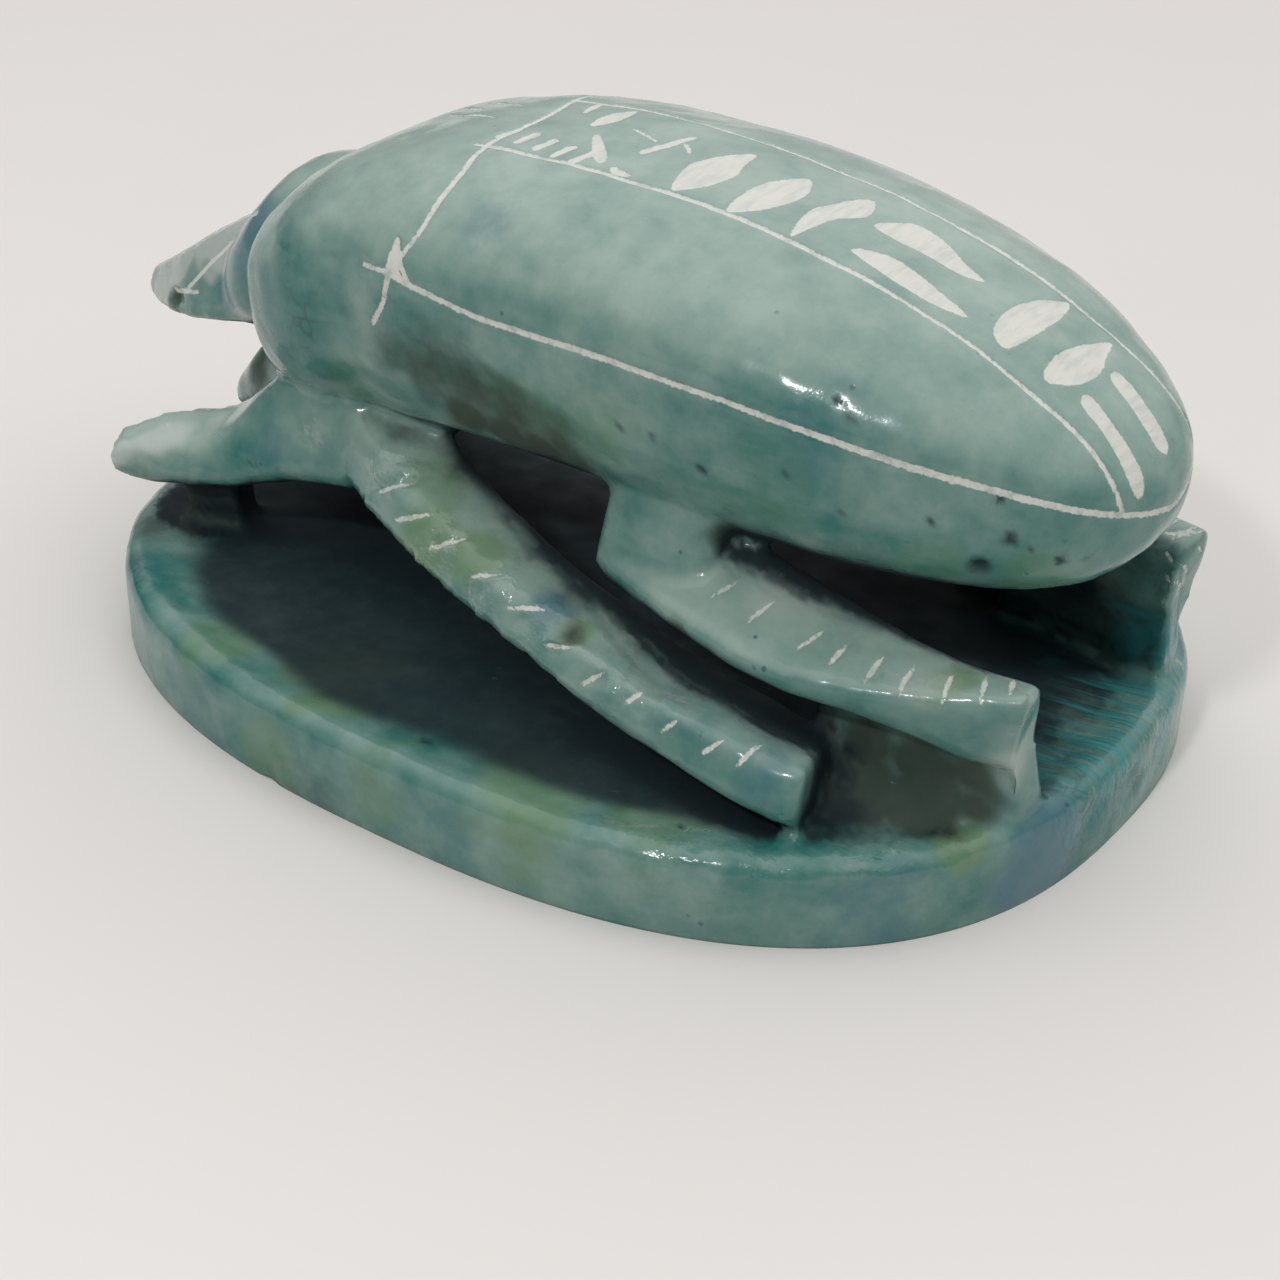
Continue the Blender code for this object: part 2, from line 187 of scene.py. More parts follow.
# Chalked lines on the back, as points the line passes near
CROSS_LINE = [
    (-19.4, -14.5, 37.0), (-18.4, -14.0, 42.0), (-14.4, -13.9, 45.6), (-9.9, -13.5, 47.4),
    (-0.4, -11.7, 48.6), (7.3, -11.6, 48.2), (11.8, -10.6, 47.3), (14.9, -10.2, 46.2), (17.7, -10.0, 44.6),
    (19.1, -10.5, 43.0), (19.8, -11.6, 41.2), (20.0, -12.2, 38.6), (19.8, -13.8, 36.0),
]
EDGE_LINE = [
    (19.9, -11.5, 41.0), (20, -2.8, 39.9), (20, 9.8, 39.8), (19.5, 21.2, 39.0), (17.6, 33.0, 37.3),
    (14.0, 41.5, 35.6), (9.0, 47.6, 33.6), (5.0, 49.6, 32.4), (0.0, 50.5, 31.2),
]
EDGE_CROSSING = [(19.3, -14.9, 40.8), (19.7, -12.6, 41.0), (19.9, -10.5, 41.2)]
COLUMN_LINE = [
    (7.0, -12.8, 48), (7.0, 2.4, 48.3), (7.0, 20.0, 46.8), (6.9, 30.2, 45.2), (6.8, 39.2, 41.7),
    (6.4, 43.8, 38.6), (6.0, 48.8, 33.2),
]
CORNER_FAN = [
    [(18.5, -11.8, 43.5), (19.3, -11.8, 42.4), (19.8, -11.8, 41.2)],
    [(18.5, -11.8, 43.5), (19.4, -11.2, 42.3), (20.0, -10.6, 40.9)],
    [(18.5, -11.8, 43.5), (19.4, -10.8, 42.3), (20.1, -9.5, 40.8)],
]
LINE_HALF_WIDTH = 0.27

# Strokes between the column lines: points as (x, y) and the half width at each
COLUMN_STROKES = [
    ([(-6.6, -10.0), (-5.2, -9.7), (-3.8, -9.4)], [0.3, 0.42, 0.25]),
    ([(-5.9, -5.6), (-4.2, -5.9), (-2.4, -6.1), (-0.9, -6.3)], [0.3, 0.85, 0.9, 0.35]),
    ([(0.9, -4.6), (2.4, -3.4), (4.1, -1.9), (5.3, -0.9)], [0.3, 0.5, 0.6, 0.45]),
    ([(5.9, 0.9), (6.3, 1.6), (6.2, 2.6)], [0.3, 0.5, 0.25]),
    ([(-1.9, -2.6), (-1.3, -1.2), (-0.7, 0.4)], [0.17, 0.16, 0.17]),
    ([(-3.3, 2.5), (-0.8, 1.7), (1.9, 0.9)], [0.25, 0.45, 0.35]),
    ([(-0.4, 4.1), (-1.6, 2.9)], [0.2, 0.2]),
]
# Broad brushed marks further back, as closed outlines of (x, y) corners
COLUMN_MARKS = [
    [(6.5, 7.2), (3.6, 6.0), (0.5, 5.8), (-3.6, 8.5), (-0.6, 9.4), (1.5, 10.0), (4.4, 9.4), (5.9, 8.3)],
    [(6.8, 12.8), (3.6, 12.2), (0.2, 12.5), (-3.1, 14.1),
     (-1.2, 15.6), (1.1, 16.0), (3.2, 15.6), (5.3, 14.6)],
    [(6.5, 18.7), (2.6, 17.8), (-0.5, 18.4), (-3.8, 19.7),
     (-2.6, 20.9), (-0.6, 21.2), (1.6, 20.0), (4.2, 19.4)],
    [(0.1, 22.6), (-1.8, 22.9), (-3.7, 24.5), (-3.2, 27.4),
     (-1.9, 30.0), (-1.3, 32.1), (-0.4, 30.6), (0.0, 26.5)],
    [(4.6, 23.1), (3.3, 24.4), (2.6, 26.6), (3.2, 30.2),
     (4.3, 33.8), (5.2, 31.4), (5.4, 28.2), (5.1, 25.4)],
    [(3.8, 35.8), (0.2, 35.2), (-3.5, 35.9), (-6.2, 37.2),
     (-3.6, 38.0), (-0.8, 38.1), (2.4, 38.0), (4.7, 37.4)],
    [(4.6, 41.0), (2.2, 40.2), (-0.7, 40.4), (-3.2, 41.0),
     (-5.4, 41.6), (-3.0, 42.4), (-0.4, 43.1), (2.6, 42.7)],
    [(2.4, 43.9), (2.9, 46.2), (3.6, 49.6), (5.0, 49.4), (4.4, 46.2), (3.8, 43.8)],
    [(-2.5, 43.8), (-2.1, 46.2), (-1.0, 49.2), (0.4, 49.0), (-0.2, 46.2), (-1.0, 43.8)],
]
DASH_COUNT = 5
DASH_FIRST = (4.0, -11.6)
DASH_LAST = (5.6, -2.6)
DASH_REACH = (1.0, -0.2)
DASH_HALF_WIDTH = 0.42
NECK_STROKES = [
    [(-4.6, -24.0), (-3.4, -21.8), (-2.1, -19.4)],
    [(-1.9, -24.8), (-0.6, -20.2), (0.8, -15.4)],
    [(-5.7, -22.2), (-4.7, -19.4), (-3.6, -16.3)],
]

# Hatching on the legs: where each stroke starts and ends
REAR_HATCH = [
    ((19.4, 20.8, 21.4), (17.2, 21.9, 22.2)), ((20.3, 24.7, 20.8), (17.1, 25.5, 21.7)),
    ((20.6, 29.6, 20.2), (17.6, 30.5, 20.9)), ((20.7, 32.8, 20.0), (17.5, 32.8, 20.7)),
    ((20.8, 36.2, 19.6), (17.3, 35.9, 20.5)), ((20.1, 38.9, 19.2), (16.9, 38.5, 20.4)),
    ((18.9, 42.2, 19.3), (16.0, 41.4, 20.3)), ((17.7, 44.9, 19.7), (14.9, 43.7, 20.3)),
    ((16.5, 46.6, 20.3), (13.8, 45.5, 20.1)),
]
MIDDLE_HATCH = [
    ((20.2, -14.2, 19.8), (19.6, -10.1, 21.7)), ((21.8, -11.0, 18.8), (21.1, -6.6, 20.4)),
    ((23.1, -6.0, 18.2), (21.5, -2.4, 19.7)), ((24.0, -0.7, 17.8), (23.0, 2.1, 18.6)),
    ((24.9, 3.8, 16.9), (23.8, 7.7, 17.6)), ((26.2, 8.6, 15.8), (25.6, 11.9, 16.4)),
    ((27.1, 13.4, 14.0), (26.2, 15.4, 15.7)), ((27.4, 18.1, 14.2), (26.0, 19.3, 15.4)),
    ((27.7, 21.9, 13.2), (26.9, 23.2, 14.6)), ((27.8, 25.9, 12.8), (26.6, 27.5, 14.3)),
    ((27.6, 29.2, 12.9), (25.1, 30.3, 14.1)),
]
FAR_FOOT_HATCH = [
    ((-14.2, 44.4, 22.6), (-15.6, 47.2, 21.2)), ((-14.4, 44.9, 20.6), (-15.5, 47.5, 19.1)),
    ((-12.9, 45.6, 19.4), (-14.1, 47.3, 17.5)), ((-12.4, 46.0, 17.6), (-13.8, 47.3, 16.0)),
]
HATCH_HALF_WIDTH = 0.17

# Head: the ridge down the near edge of the shield, the stroke near its tip and the scratches on top
RIDGE_LINE = [
    (7.0, -39.4, 35.2), (5.3, -42.8, 32.6), (4.4, -45.6, 30.4), (4.8, -47.8, 28.0), (5.6, -51.3, 24.0),
]
TIP_LINE = [(4.9, -53.9, 23.0), (5.5, -51.8, 23.6), (6.2, -49.4, 24.4)]
FAN_COUNT = 10
FAN_START = (-43.8, 32.8)
FAN_MIDDLE = (-49.0, 30.5)
FAN_END_HALF_WIDTH = 4.6
FAN_END = (-57.6, 25.4)
FAN_HALF_WIDTH = 0.07

# The hand: its pressure along a stroke, and where the points of a tapering stroke lie along it
HAND_PRESSURE = (0.85, 1.15)
TAPER_PLACES = (0.08, 0.35, 0.7, 1.0)

# Strokes in millimetres: spacing of their points, how far from them a distance is measured, the
# height that strokes are dropped from, the height that broad marks lie above, and the depths cut
STROKE_STEP = 0.12
OUTLINE_STEP = 0.15
GAP_REACH = 2.5
ABOVE_ALL = 60.0
MARK_FLOOR = 30.0
LINE_DEPTH = 0.16
MARK_DEPTH = 0.08

# Pits: place and radius, in millimetres
PITS = [
    (12.7, 41.1, 28.4, 0.8), (8.6, 46.2, 31.2, 0.4), (7.4, 47.4, 30.8, 0.35), (9.6, 46.2, 29.4, 0.42),
    (11.2, 44.4, 30.6, 0.3), (19.2, 25.0, 36.0, 0.3), (19.4, 22.0, 35.6, 0.25), (6.2, 48.4, 29.8, 0.45),
    (19.9, 15.2, 34.2, 0.28), (33.6, 2.4, 7.6, 0.45), (30.4, 26.2, 7.4, 0.35), (12.3, 43.2, 31.3, 0.5),
    (16.6, 30.0, 40.7, 0.3), (17.0, 31.4, 39.6, 0.35), (-19.2, 18.0, 35.0, 0.4), (-17.0, 34.0, 33.0, 0.35),
    (10.4, 45.0, 31.8, 0.3), (8.0, 47.6, 29.4, 0.28), (12.9, 42.4, 34.7, 0.26), (15.1, 37.8, 32.4, 0.24),
    (19.0, 19.3, 32.3, 0.3), (18.3, 27.0, 34.0, 0.25), (17.4, 31.0, 31.6, 0.28), (19.8, 12.0, 33.9, 0.22),
    (18.6, 8.0, 12.6, 0.4), (31.0, 38.0, 4.4, 0.4),
]
# Chips: place, radius across and depth
CHIPS = [
    (24.9, 10.0, 17.0, 1.6, 0.45), (24.2, 12.2, 17.0, 1.3, 0.35), (5.4, -53.4, 22.2, 1.4, 0.5),
    (28.2, -38.6, 15.0, 1.2, 0.4), (33.0, 36.5, 7.4, 1.3, 0.4), (-1.0, 50.0, 3.6, 2.6, 0.35),
    (5.5, 49.9, 4.4, 2.4, 0.3), (36.6, -12.0, 1.0, 2.4, 0.3),
    (-30.0, 33.0, 6.0, 2.4, 0.4), (-36.0, -16.0, 6.8, 1.7, 0.35),
]
# Shallow hollows left by the round file: place, radius across and depth
SCOOPS = [
    (14.2, 48.2, 14.5, 6.0, 0.9), (20.0, -9.0, 32.5, 6.5, 0.7), (20.0, -3.0, 31.0, 6.5, 0.8),
    (19.6, 3.0, 29.5, 6.5, 0.6), (24.0, 20.0, 15.6, 5.0, 0.5), (-14.2, 47.8, 14.5, 6.0, 0.6),
    (-20.0, -6.0, 31.5, 8.0, 0.6), (18.6, 20.2, 26.0, 2.6, 0.7),
]
# Unevenness in millimetres: height, size and seed of the hand-worked bumps, then the heights of
# the crust and its waves, and the height and pitch of the rasp's furrows
HAND_BUMPS = [(0.10, 6.0, 31), (0.035, 1.7, 32)]
CRUST_HEIGHT = 0.16
WAVE_HEIGHT = 0.20
RASP_HEIGHT = 0.07
RASP_PITCH = 1.15
RIPPLE_WAVES = 14

# Outlook of the stone: rays from each vertex, their length and how far off the stone they start
OUTLOOK_RAYS = 28
OUTLOOK_REACH = 22.0
OUTLOOK_START = 0.25

# Colours as they show in daylight, before the light of the scene
PALE = (0.330, 0.445, 0.395, 1.0)
TEAL = (0.022, 0.165, 0.145, 1.0)
DEEP_BLUE = (0.022, 0.075, 0.110, 1.0)
SKY = (0.078, 0.185, 0.240, 1.0)
MOSS = (0.150, 0.265, 0.105, 1.0)
# Grime colour, also used as painted shade in the cove under the rear leg, under the front leg and at the
# breast
DIRT_AND_SHADE = (0.040, 0.050, 0.036, 1.0)
BARE = (0.470, 0.530, 0.500, 1.0)
RASPED_DYE = (0.035, 0.250, 0.265, 1.0)
# Near-black dye; also the colour of the painted shade in the recesses and of the painted shadow on the
# plate
SHADOW_DYE = (0.008, 0.018, 0.026, 1.0)
CHALK = (0.740, 0.735, 0.690, 1.0)
PAPER = (0.800, 0.775, 0.755, 1.0)

# Patches of each tint: place and radius in millimetres, strength
PATCHES = {
    "teal": [
        (14, -30, 33, 13, 1.0), (18, -24, 33, 10, 1.0), (-14, -30, 33, 13, 0.9), (19.5, 6, 33, 9, 0.3),
        (18, 24, 32, 12, 0.4), (12, 42, 29, 12, 0.4), (-18, 10, 32, 16, 0.6), (-14, 40, 30, 13, 0.6),
        (19, 13, 27, 7, 0.5), (-19, 13, 27, 7, 0.7), (36, -20, 4, 10, 0.3), (31, -36, 6, 9, 0.9),
        (26, 35, 5, 8, 0.5), (6, 49, 5, 14, 0.9), (-30, 30, 7, 14, 0.8), (-22, 44, 6, 14, 0.8),
        (0, -33, 36, 7, 0.6), (23, 8, 18, 5, 0.5), (20, 12, 24, 8, 0.5), (-6, -44, 34, 6, 0.5),
        (-37, -10, 4, 16, 0.7), (-28, -32, 5, 14, 0.7), (14, 4, 47, 5, 0.25), (22, -20, 19, 7, 0.6),
        (19, -31, 17, 5.5, 0.9), (23, -36, 14.5, 5.5, 0.9), (27, -41, 13, 5, 0.9), (14, -32, 23, 6, 0.8),
        (20.4, -12, 38, 5, 0.8), (8, 40, 40, 12, 0.5), (2, 28, 46, 12, 0.35), (14, 30, 42, 9, 0.35),
        (31, 4, 7, 6, 0.5), (25, 24, 14, 5, 0.4), (16, 44, 17, 5, 0.3),
    ],
    "sky": [
        (12, 48, 3, 9, 0.85), (25, 41, 3, 7, 0.5), (35, -22, 3, 9, 0.35), (27, -37, 4, 7, 0.4),
        (8, -44, 27.5, 5, 0.7), (8, -38.5, 33, 6, 0.8), (18, -29, 19, 4, 0.5), (20, 32, 17, 4, 0.6),
        (24, 24, 15, 7, 0.35), (13, -33, 7.2, 3.5, 0.9), (36, 8, 3, 6, 0.4), (17, 31, 38, 8, 0.35),
        (23, 8, 18.4, 4, 0.7), (-20, 44, 5, 9, 0.6), (26, 31, 12.5, 3.5, 0.5), (38, -4, 2, 5, 0.3),
        (16, -4, 47, 4, 0.45),
    ],
    "moss": [
        (28.5, -12, 8, 8, 0.9), (33, -22, 7.5, 6, 0.7), (37.5, -12, 3, 6, 0.6), (34, 14, 7, 9, 0.7),
        (30, 24, 6, 8, 0.6), (16.5, 42, 19.5, 3.4, 0.9), (20.5, 31, 17, 3.4, 1.0), (22, -7, 18, 6, 0.8),
        (22.5, -1, 20, 5, 0.9), (17, -18, 28, 7, 0.4), (37, 1, 4, 6, 0.5), (-34, 8, 5, 11, 0.6),
        (19, 2, 31, 8, 0.5), (10, 45, 27, 6, 0.5), (-16, 30, 19, 6, 0.7), (24, 11, 17, 3, 0.8),
        (33.5, -8, 7.6, 6, 0.8), (19, 24, 31, 8, 0.35), (18, -9, 22, 5, 0.6), (14, 38, 28, 6, 0.45),
        (19, 45.5, 8, 4, 0.9), (20, 9, 34, 7, 0.45),
    ],
    # Grime on the flanks and by the drill hole, and painted shade in the cove under the rear leg, under the
    # front leg and at the breast
    "dirt_and_shade": [
        (19.8, -12, 34, 6.5, 0.5), (19.8, -8, 32.5, 7.5, 0.65), (19.6, -4, 31.5, 8, 0.75),
        (19.2, 0, 30.5, 8, 0.7), (18.4, 4, 29, 7, 0.65), (18, 8, 28, 6, 0.4), (16, 20.0, 25.5, 3.2, 0.9),
        (18.5, 20.5, 26, 5.0, 0.45), (14.5, 43.5, 8, 4.8, 1.5), (17, 40, 8, 6.5, 1.9),
        (19, 35.5, 8.5, 6.8, 1.9), (19.5, 30.5, 9, 6.5, 1.9), (17.6, 31, 12, 4.6, 1.7),
        (17, 35, 12, 4.6, 1.7), (15.8, 39, 11.6, 4.4, 1.6), (14.3, 43, 11, 3.6, 1.3),
        (18.4, -5, 28.6, 4.6, 1.1), (18, -1.5, 27.8, 5, 1.2), (17.8, 2, 27.4, 5, 1.2),
        (17.8, 5.5, 27.2, 4.6, 0.9), (22.2, 19, 18.0, 2.8, 1.2), (22.8, 23, 17.2, 3.0, 1.3),
        (22.8, 27.5, 16.6, 3.0, 1.1), (22.4, 32, 16, 2.6, 0.8), (24.6, 10.9, 17.0, 2.6, 0.9),
        (14, 32, 27, 6, 0.3), (38, -6, 1, 8, 0.4), (15.5, -39, 10, 8, 1.8), (20, -21, 16, 4, 0.4),
        (-17, 20, 25, 7, 0.7), (-17, 38, 12, 10, 0.9), (-18, -4, 30, 9, 0.7), (5.2, -53.4, 22.4, 2.4, 0.9),
        (8, -39.5, 20, 5, 0.8), (22.5, 32, 7, 5, 1.7), (20, 25.5, 9, 4.5, 1.4), (22, -42, 10, 6, 0.8),
    ],
    "bare": [
        (1, -50, 29.5, 7.5, 3.0), (2, -55, 25.5, 6.5, 3.0), (1, -46, 32, 6, 2.6), (19.5, -42, 17.5, 5, 1.8),
        (16, -38, 20, 4, 1.2), (23.5, -45.5, 15.6, 4, 1.8), (22, -12, 20, 3.5, 0.5), (24, 27, 20, 8, 0.35),
        (18, 40, 21, 7, 0.5), (15, 47.6, 14, 6, 0.7), (17, 26, 23, 7, 0.6), (25, -44, 11.6, 3, 1.0),
    ],
    "rough": [
        (32, 28, 7.6, 5, 1.0), (29, 34, 7.6, 4.5, 1.0), (25, 40, 7.6, 5, 1.0), (19, 44, 7.6, 4, 0.7),
        (22.8, -5, 18.3, 4.5, 1.7), (24.4, 2, 17.5, 4.5, 1.7), (25.2, 8, 16.6, 4, 1.2),
        (26, 15, 15.5, 4.5, 1.0), (26, 21, 15, 3.5, 0.8), (19.5, -13.5, 21.6, 4.5, 1.5),
        (22, -40, 16, 6, 0.6), (15.5, 20, 30, 3, 0.5), (18, 28, 40, 2.4, 0.35), (-25, 2, 18, 6, 0.8),
        (-32, 26, 7.6, 8, 0.7), (16.9, -24.9, 20.8, 2.6, 1.6), (32.7, 22, 7.6, 4, 0.8),
        (-12.2, 46, 16.6, 2.6, 1.6), (22, 44, 5, 5, 0.6), (-8, 49, 7.5, 3, 0.7),
    ],
}
# Patches that fade from their middle; the rest are at full strength out to a core
SOFT_PATCHES = ("dirt_and_shade", "bare", "teal")
SOFT_CORE = 0.0
HARD_CORE = 0.35
# Places on the legs left free of the recess dye and painted shade
UNSHADED_PLACES = [
    (18, -12, 22, 6, 1.0), (19.5, -6, 21, 6, 1.0), (21, -1, 19.5, 5, 1.0), (22.5, 5, 18, 4.5, 0.9),
    (15, -17, 22, 5, 0.8), (24, 11, 16.5, 4.5, 0.8), (25, 18, 15, 4, 0.7), (25.5, 25, 14, 4, 0.7),
    (-18, -12, 22, 6, 1.0), (-19.5, -6, 21, 6, 1.0), (-21, -1, 19.5, 5, 1.0), (-24, 11, 16.5, 4.5, 0.8),
]
# Places at the tail that were left from the rasp
RASPED = [
    (2, 47.5, 7.5, 8, 1.0), (-6, 46.5, 8, 9, 1.0), (-12, 46, 11, 7, 0.8), (-12.5, 46.0, 18, 4, 0.15),
]

# The camera and lights, from the middle of the base plate
CAMERA_PLACE = (0.16063, 0.11615, 0.12308)
CAMERA_AZIMUTH = 125.892
CAMERA_ELEVATION = 31.835
CAMERA_ROLL = 0.715
CAMERA_LENS = 69.53
PLATE_SHIFT = 0.004643

# Share of the plate's half size inside which its top is darkened, partly by dye and partly by a painted
# shadow of the body, and how darkly
PLATE_DYE_AND_SHADE_EDGE = 0.93
PLATE_DYE_AND_SHADE = 0.84

# Noises of the materials: scale, detail, roughness and, where it has one, stretch
NOISES = {
    "broad": (75, 5, 0.6),
    "middle": (260, 5, 0.62),
    "fine": (1100, 4, 0.6),
    "streaks": (420, 4, 0.6, (1.0, 0.12, 1.0)),
    "filed": (800, 3, 0.6, (1.0, 0.05, 0.3)),
    "thinning": (160, 3, 0.55),
    "thickness": (210, 3, 0.55),
    "frayed": (2600, 3, 0.55),
    "rubbed": (900, 4, 0.6),
    "brushed": (1500, 3, 0.6, (0.2, 1.0, 1.0)),
    "scratch": (1500, 3, 0.6, (1.0, 0.06, 1.0)),
    "crust": (900, 3, 0.6),
    "comb": (1300, 3, 0.6, (1.0, 0.04, 0.5)),
    "paper": (12, 4, 0.55),
}
SPECK_SCALE = 520
CRACK_SCALE = 420

# Shares of the dye: everywhere, and less where it was rubbed; then how fully each coat covers
DYE_SHARE = 0.68
RUBBED_SHARE = 0.62
STREAK_COVER = 0.16
TINTS = [("moss", MOSS, 0.62), ("sky", SKY, 0.8), ("bare", BARE, 0.92)]
GRIME_AND_SHADE_COVER = 0.88
DYE_AND_SHADE_COVER = 0.96
FILED_COVER = 0.85
SPECK_COVER = 0.7
PIT_COVER = 0.85
CRACK_COVER = 0.55
CHALK_COVER = 0.94

# Varnish: its weight on smooth stone and what crust adds; then the relief too fine for the mesh
STONE_IOR = 1.5
STONE_SPECULAR = 0.3
VARNISH = 0.34
CRUST_VARNISH = 0.45
VARNISH_ROUGHNESS = 0.07
RELIEF_HEIGHT = 0.00025
RELIEF_STRENGTH = 0.9

# Room light: brightest toward one side of the ceiling. Window: azimuth, elevation, distance,
# sides and power; lamps point at the middle of the body
ROOM_COLOUR = (1.0, 0.985, 0.975, 1.0)
ROOM_BRIGHT_SIDE = (272, 68)
ROOM_RANGE = (0.05, 1.0, 0.065, 1.28)
WINDOW = (99, 43, 0.60, 0.060, 0.035, 0.85)
LAMP_TARGET = (0, 0, 0.02)
PAPER_REACH = 4.0


def place(across, along, up, side=1.0):
    """Turns leg shares into metres for the near (+1) or far (-1) side."""
    reach = 1.0 if side > 0 else FAR_SIDE_REACH
    height = BASE_THICKNESS + up * BELLY_CLEARANCE
    return (side * across * HALF_WIDTH, along * reach * HALF_LENGTH, height)


def bow(angle, exponent):
    """Cosine and sine bent to a superellipse."""
    c = math.cos(angle)
    s = math.sin(angle)
    return (
        math.copysign(abs(c) ** (2 / exponent), c),
        math.copysign(abs(s) ** (2 / exponent), s),
    )


def ring_angles(count):
    """Angles of the points round a ring."""
    return [2 * math.pi * i / count for i in range(count)]


def blend(low, high, share):
    """Value between low and high, for a share from -1 to 1."""
    return low * (1 - share) / 2 + high * (1 + share) / 2


def between(before, a, b, after, f):
    """Catmull-Rom curve from a to b, for numbers or arrays; f runs from 0 to 1."""
    bend = 2 * before - 5 * a + 4 * b - after + f * (3 * (a - b) + after - before)
    return a + 0.5 * f * (b - before + f * bend)


def neighbours(rows, i):
    """The rows from one before i to two after it, held at the ends."""
    last = len(rows) - 1
    return [rows[min(max(i + k, 0), last)] for k in (-1, 0, 1, 2)]


def curve_through(stations, t):
    """Point lists blended along a smooth curve; t runs from 0 to the last station."""
    i = min(int(t), len(stations) - 2)
    return [
        tuple(between(*values, t - i) for values in zip(*points))
        for points in zip(*neighbours(stations, i))
    ]


def finished(bm, name):
    """A mesh made from a bmesh that has served its turn."""
    mesh = bpy.data.meshes.new(name)
    bm.to_mesh(mesh)
    bm.free()
    return mesh


def add_object(name, data):
    """A new object in the scene."""
    thing = bpy.data.objects.new(name, data)
    bpy.context.scene.collection.objects.link(thing)
    return thing


def closed_solid(name, rings):
    """Joins equal rings into one closed mesh, with a fan over each end."""
    bm = bmesh.new()
    rows = [[bm.verts.new(p) for p in ring] for ring in rings]
    count = len(rows[0])
    for low, high in zip(rows, rows[1:]):
        for i in range(count):
            j = (i + 1) % count
            bm.faces.new((low[i], low[j], high[j], high[i]))
    for row in (rows[0], rows[-1]):
        middle = [sum(v.co[k] for v in row) / count for k in range(3)]
        centre = bm.verts.new(middle)
        for i in range(count):
            bm.faces.new((row[i], row[(i + 1) % count], centre))
    bmesh.ops.recalc_face_normals(bm, faces=bm.faces)
    if bm.calc_volume(signed=True) < 0:
        bmesh.ops.reverse_faces(bm, faces=bm.faces)
    return finished(bm, name)


def limb_rings(stations, side, steps):
    """Four-cornered rings with rounded corners along a limb."""
    rings = []
    for k in range((len(stations) - 1) * steps + 1):
        corners = [place(*p, side) for p in curve_through(stations, k / steps)]
        ring = []
        for angle in ring_angles(LEG_POINTS):
            u, v = bow(angle, LEG_CORNER_EXPONENT)
            point = []
            for inner_top, outer_top, outer_low, inner_low in zip(*corners):
                upper = blend(inner_top, outer_top, u)
                lower = blend(inner_low, outer_low, u)
                point.append(blend(lower, upper, v))
            ring.append(tuple(point))
        rings.append(ring)
    return rings


def base_rings():
    """Oval plate: straight side, rounded upper lip, slightly dished top."""
    outline = [bow(angle, BASE_EXPONENT) for angle in ring_angles(BASE_POINTS)]
    levels = [(0.0, -0.3 * BASE_THICKNESS), (0.0, BASE_THICKNESS - BASE_LIP_RADIUS)]
    for k in range(1, LIP_STEPS + 1):
        a = math.pi / 2 / LIP_STEPS * k
        inset = BASE_LIP_RADIUS * (1 - math.cos(a))
        height = BASE_THICKNESS - BASE_LIP_RADIUS * (1 - math.sin(a))
        levels.append((inset, height))
    levels.append((2.5 * BASE_LIP_RADIUS, BASE_THICKNESS - 0.5 * BASE_DISH_DEPTH))
    levels.append((6 * BASE_LIP_RADIUS, BASE_THICKNESS - BASE_DISH_DEPTH))
    rings = []
    for inset, height in levels:
        ring = [((HALF_WIDTH - inset) * c, (HALF_LENGTH - inset) * s, height) for c, s in outline]
        rings.append(ring)
    return rings


def body_size(y):
    """Half width, widest height, crown rise and belly depth of the body at y."""
    if y < BODY_CENTRE:
        reach, drop, power = BODY_FRONT, BODY_EDGE_DROP_FRONT, BODY_EDGE_POWER_FRONT
        plan, profile = BODY_PLAN_FRONT, BODY_ARCH_FRONT
    else:
        reach, drop, power = BODY_REAR, BODY_EDGE_DROP_REAR, BODY_EDGE_POWER_REAR
        plan, profile = BODY_PLAN_REAR, BODY_ARCH_REAR
    t = min(abs(y - BODY_CENTRE) / reach, 1.0)
    width = (1 - t ** plan) ** (1 / plan)
    arch = (1 - t ** profile) ** (1 / profile)
    pinch = 1 - WAIST_DEPTH * math.exp(-(((y - WAIST_PLACE) / WAIST_LENGTH) ** 2))
    belly = BODY_BELLY_DEPTH * (0.5 * arch + 0.5 * width)
    return BODY_HALF_WIDTH * width * pinch, EDGE_HEIGHT - drop * t ** power, BODY_CROWN * arch, belly


def body_rings():
    """Cross sections of the dome and belly from the neck to the tail."""
    rings = []
    for k in range(BODY_FIRST_STEP, BODY_STEPS + 1):
        share = -math.cos(math.pi * k / BODY_STEPS)
        share = max(-BODY_FRONT_CUT, min(share, BODY_REAR_CUT))
        y = BODY_CENTRE + share * (BODY_FRONT if share < 0 else BODY_REAR)
        half, edge, crown, belly = body_size(y)
        ring = []
        for angle in ring_angles(BODY_POINTS):
            up = math.sin(angle) >= 0
            c, s = bow(angle, BODY_CROWN_EXPONENT if up else BODY_BELLY_EXPONENT)
            ring.append((half * c, y, edge + (crown if up else belly) * s))
        rings.append(ring)
    return rings


def dome_section(angle, half, top, bottom, widest):
    """Point of the head's outline, in its shares: rounder above its widest line than below."""
    up = math.sin(angle) >= 0
    c, s = bow(angle, HEAD_ROOF_EXPONENT if up else HEAD_JAW_EXPONENT)
    reach = (top - widest) if up else (widest - bottom)
    return half * c, widest + reach * s


def shield_section(angle, half_top, top, half_low, low):
    """Point of the shield's outline, in the same shares: a flat top and sloping sides."""
    u, v = bow(angle, LEG_CORNER_EXPONENT)
    return blend(half_low, half_top, v) * u, blend(low, top, v)


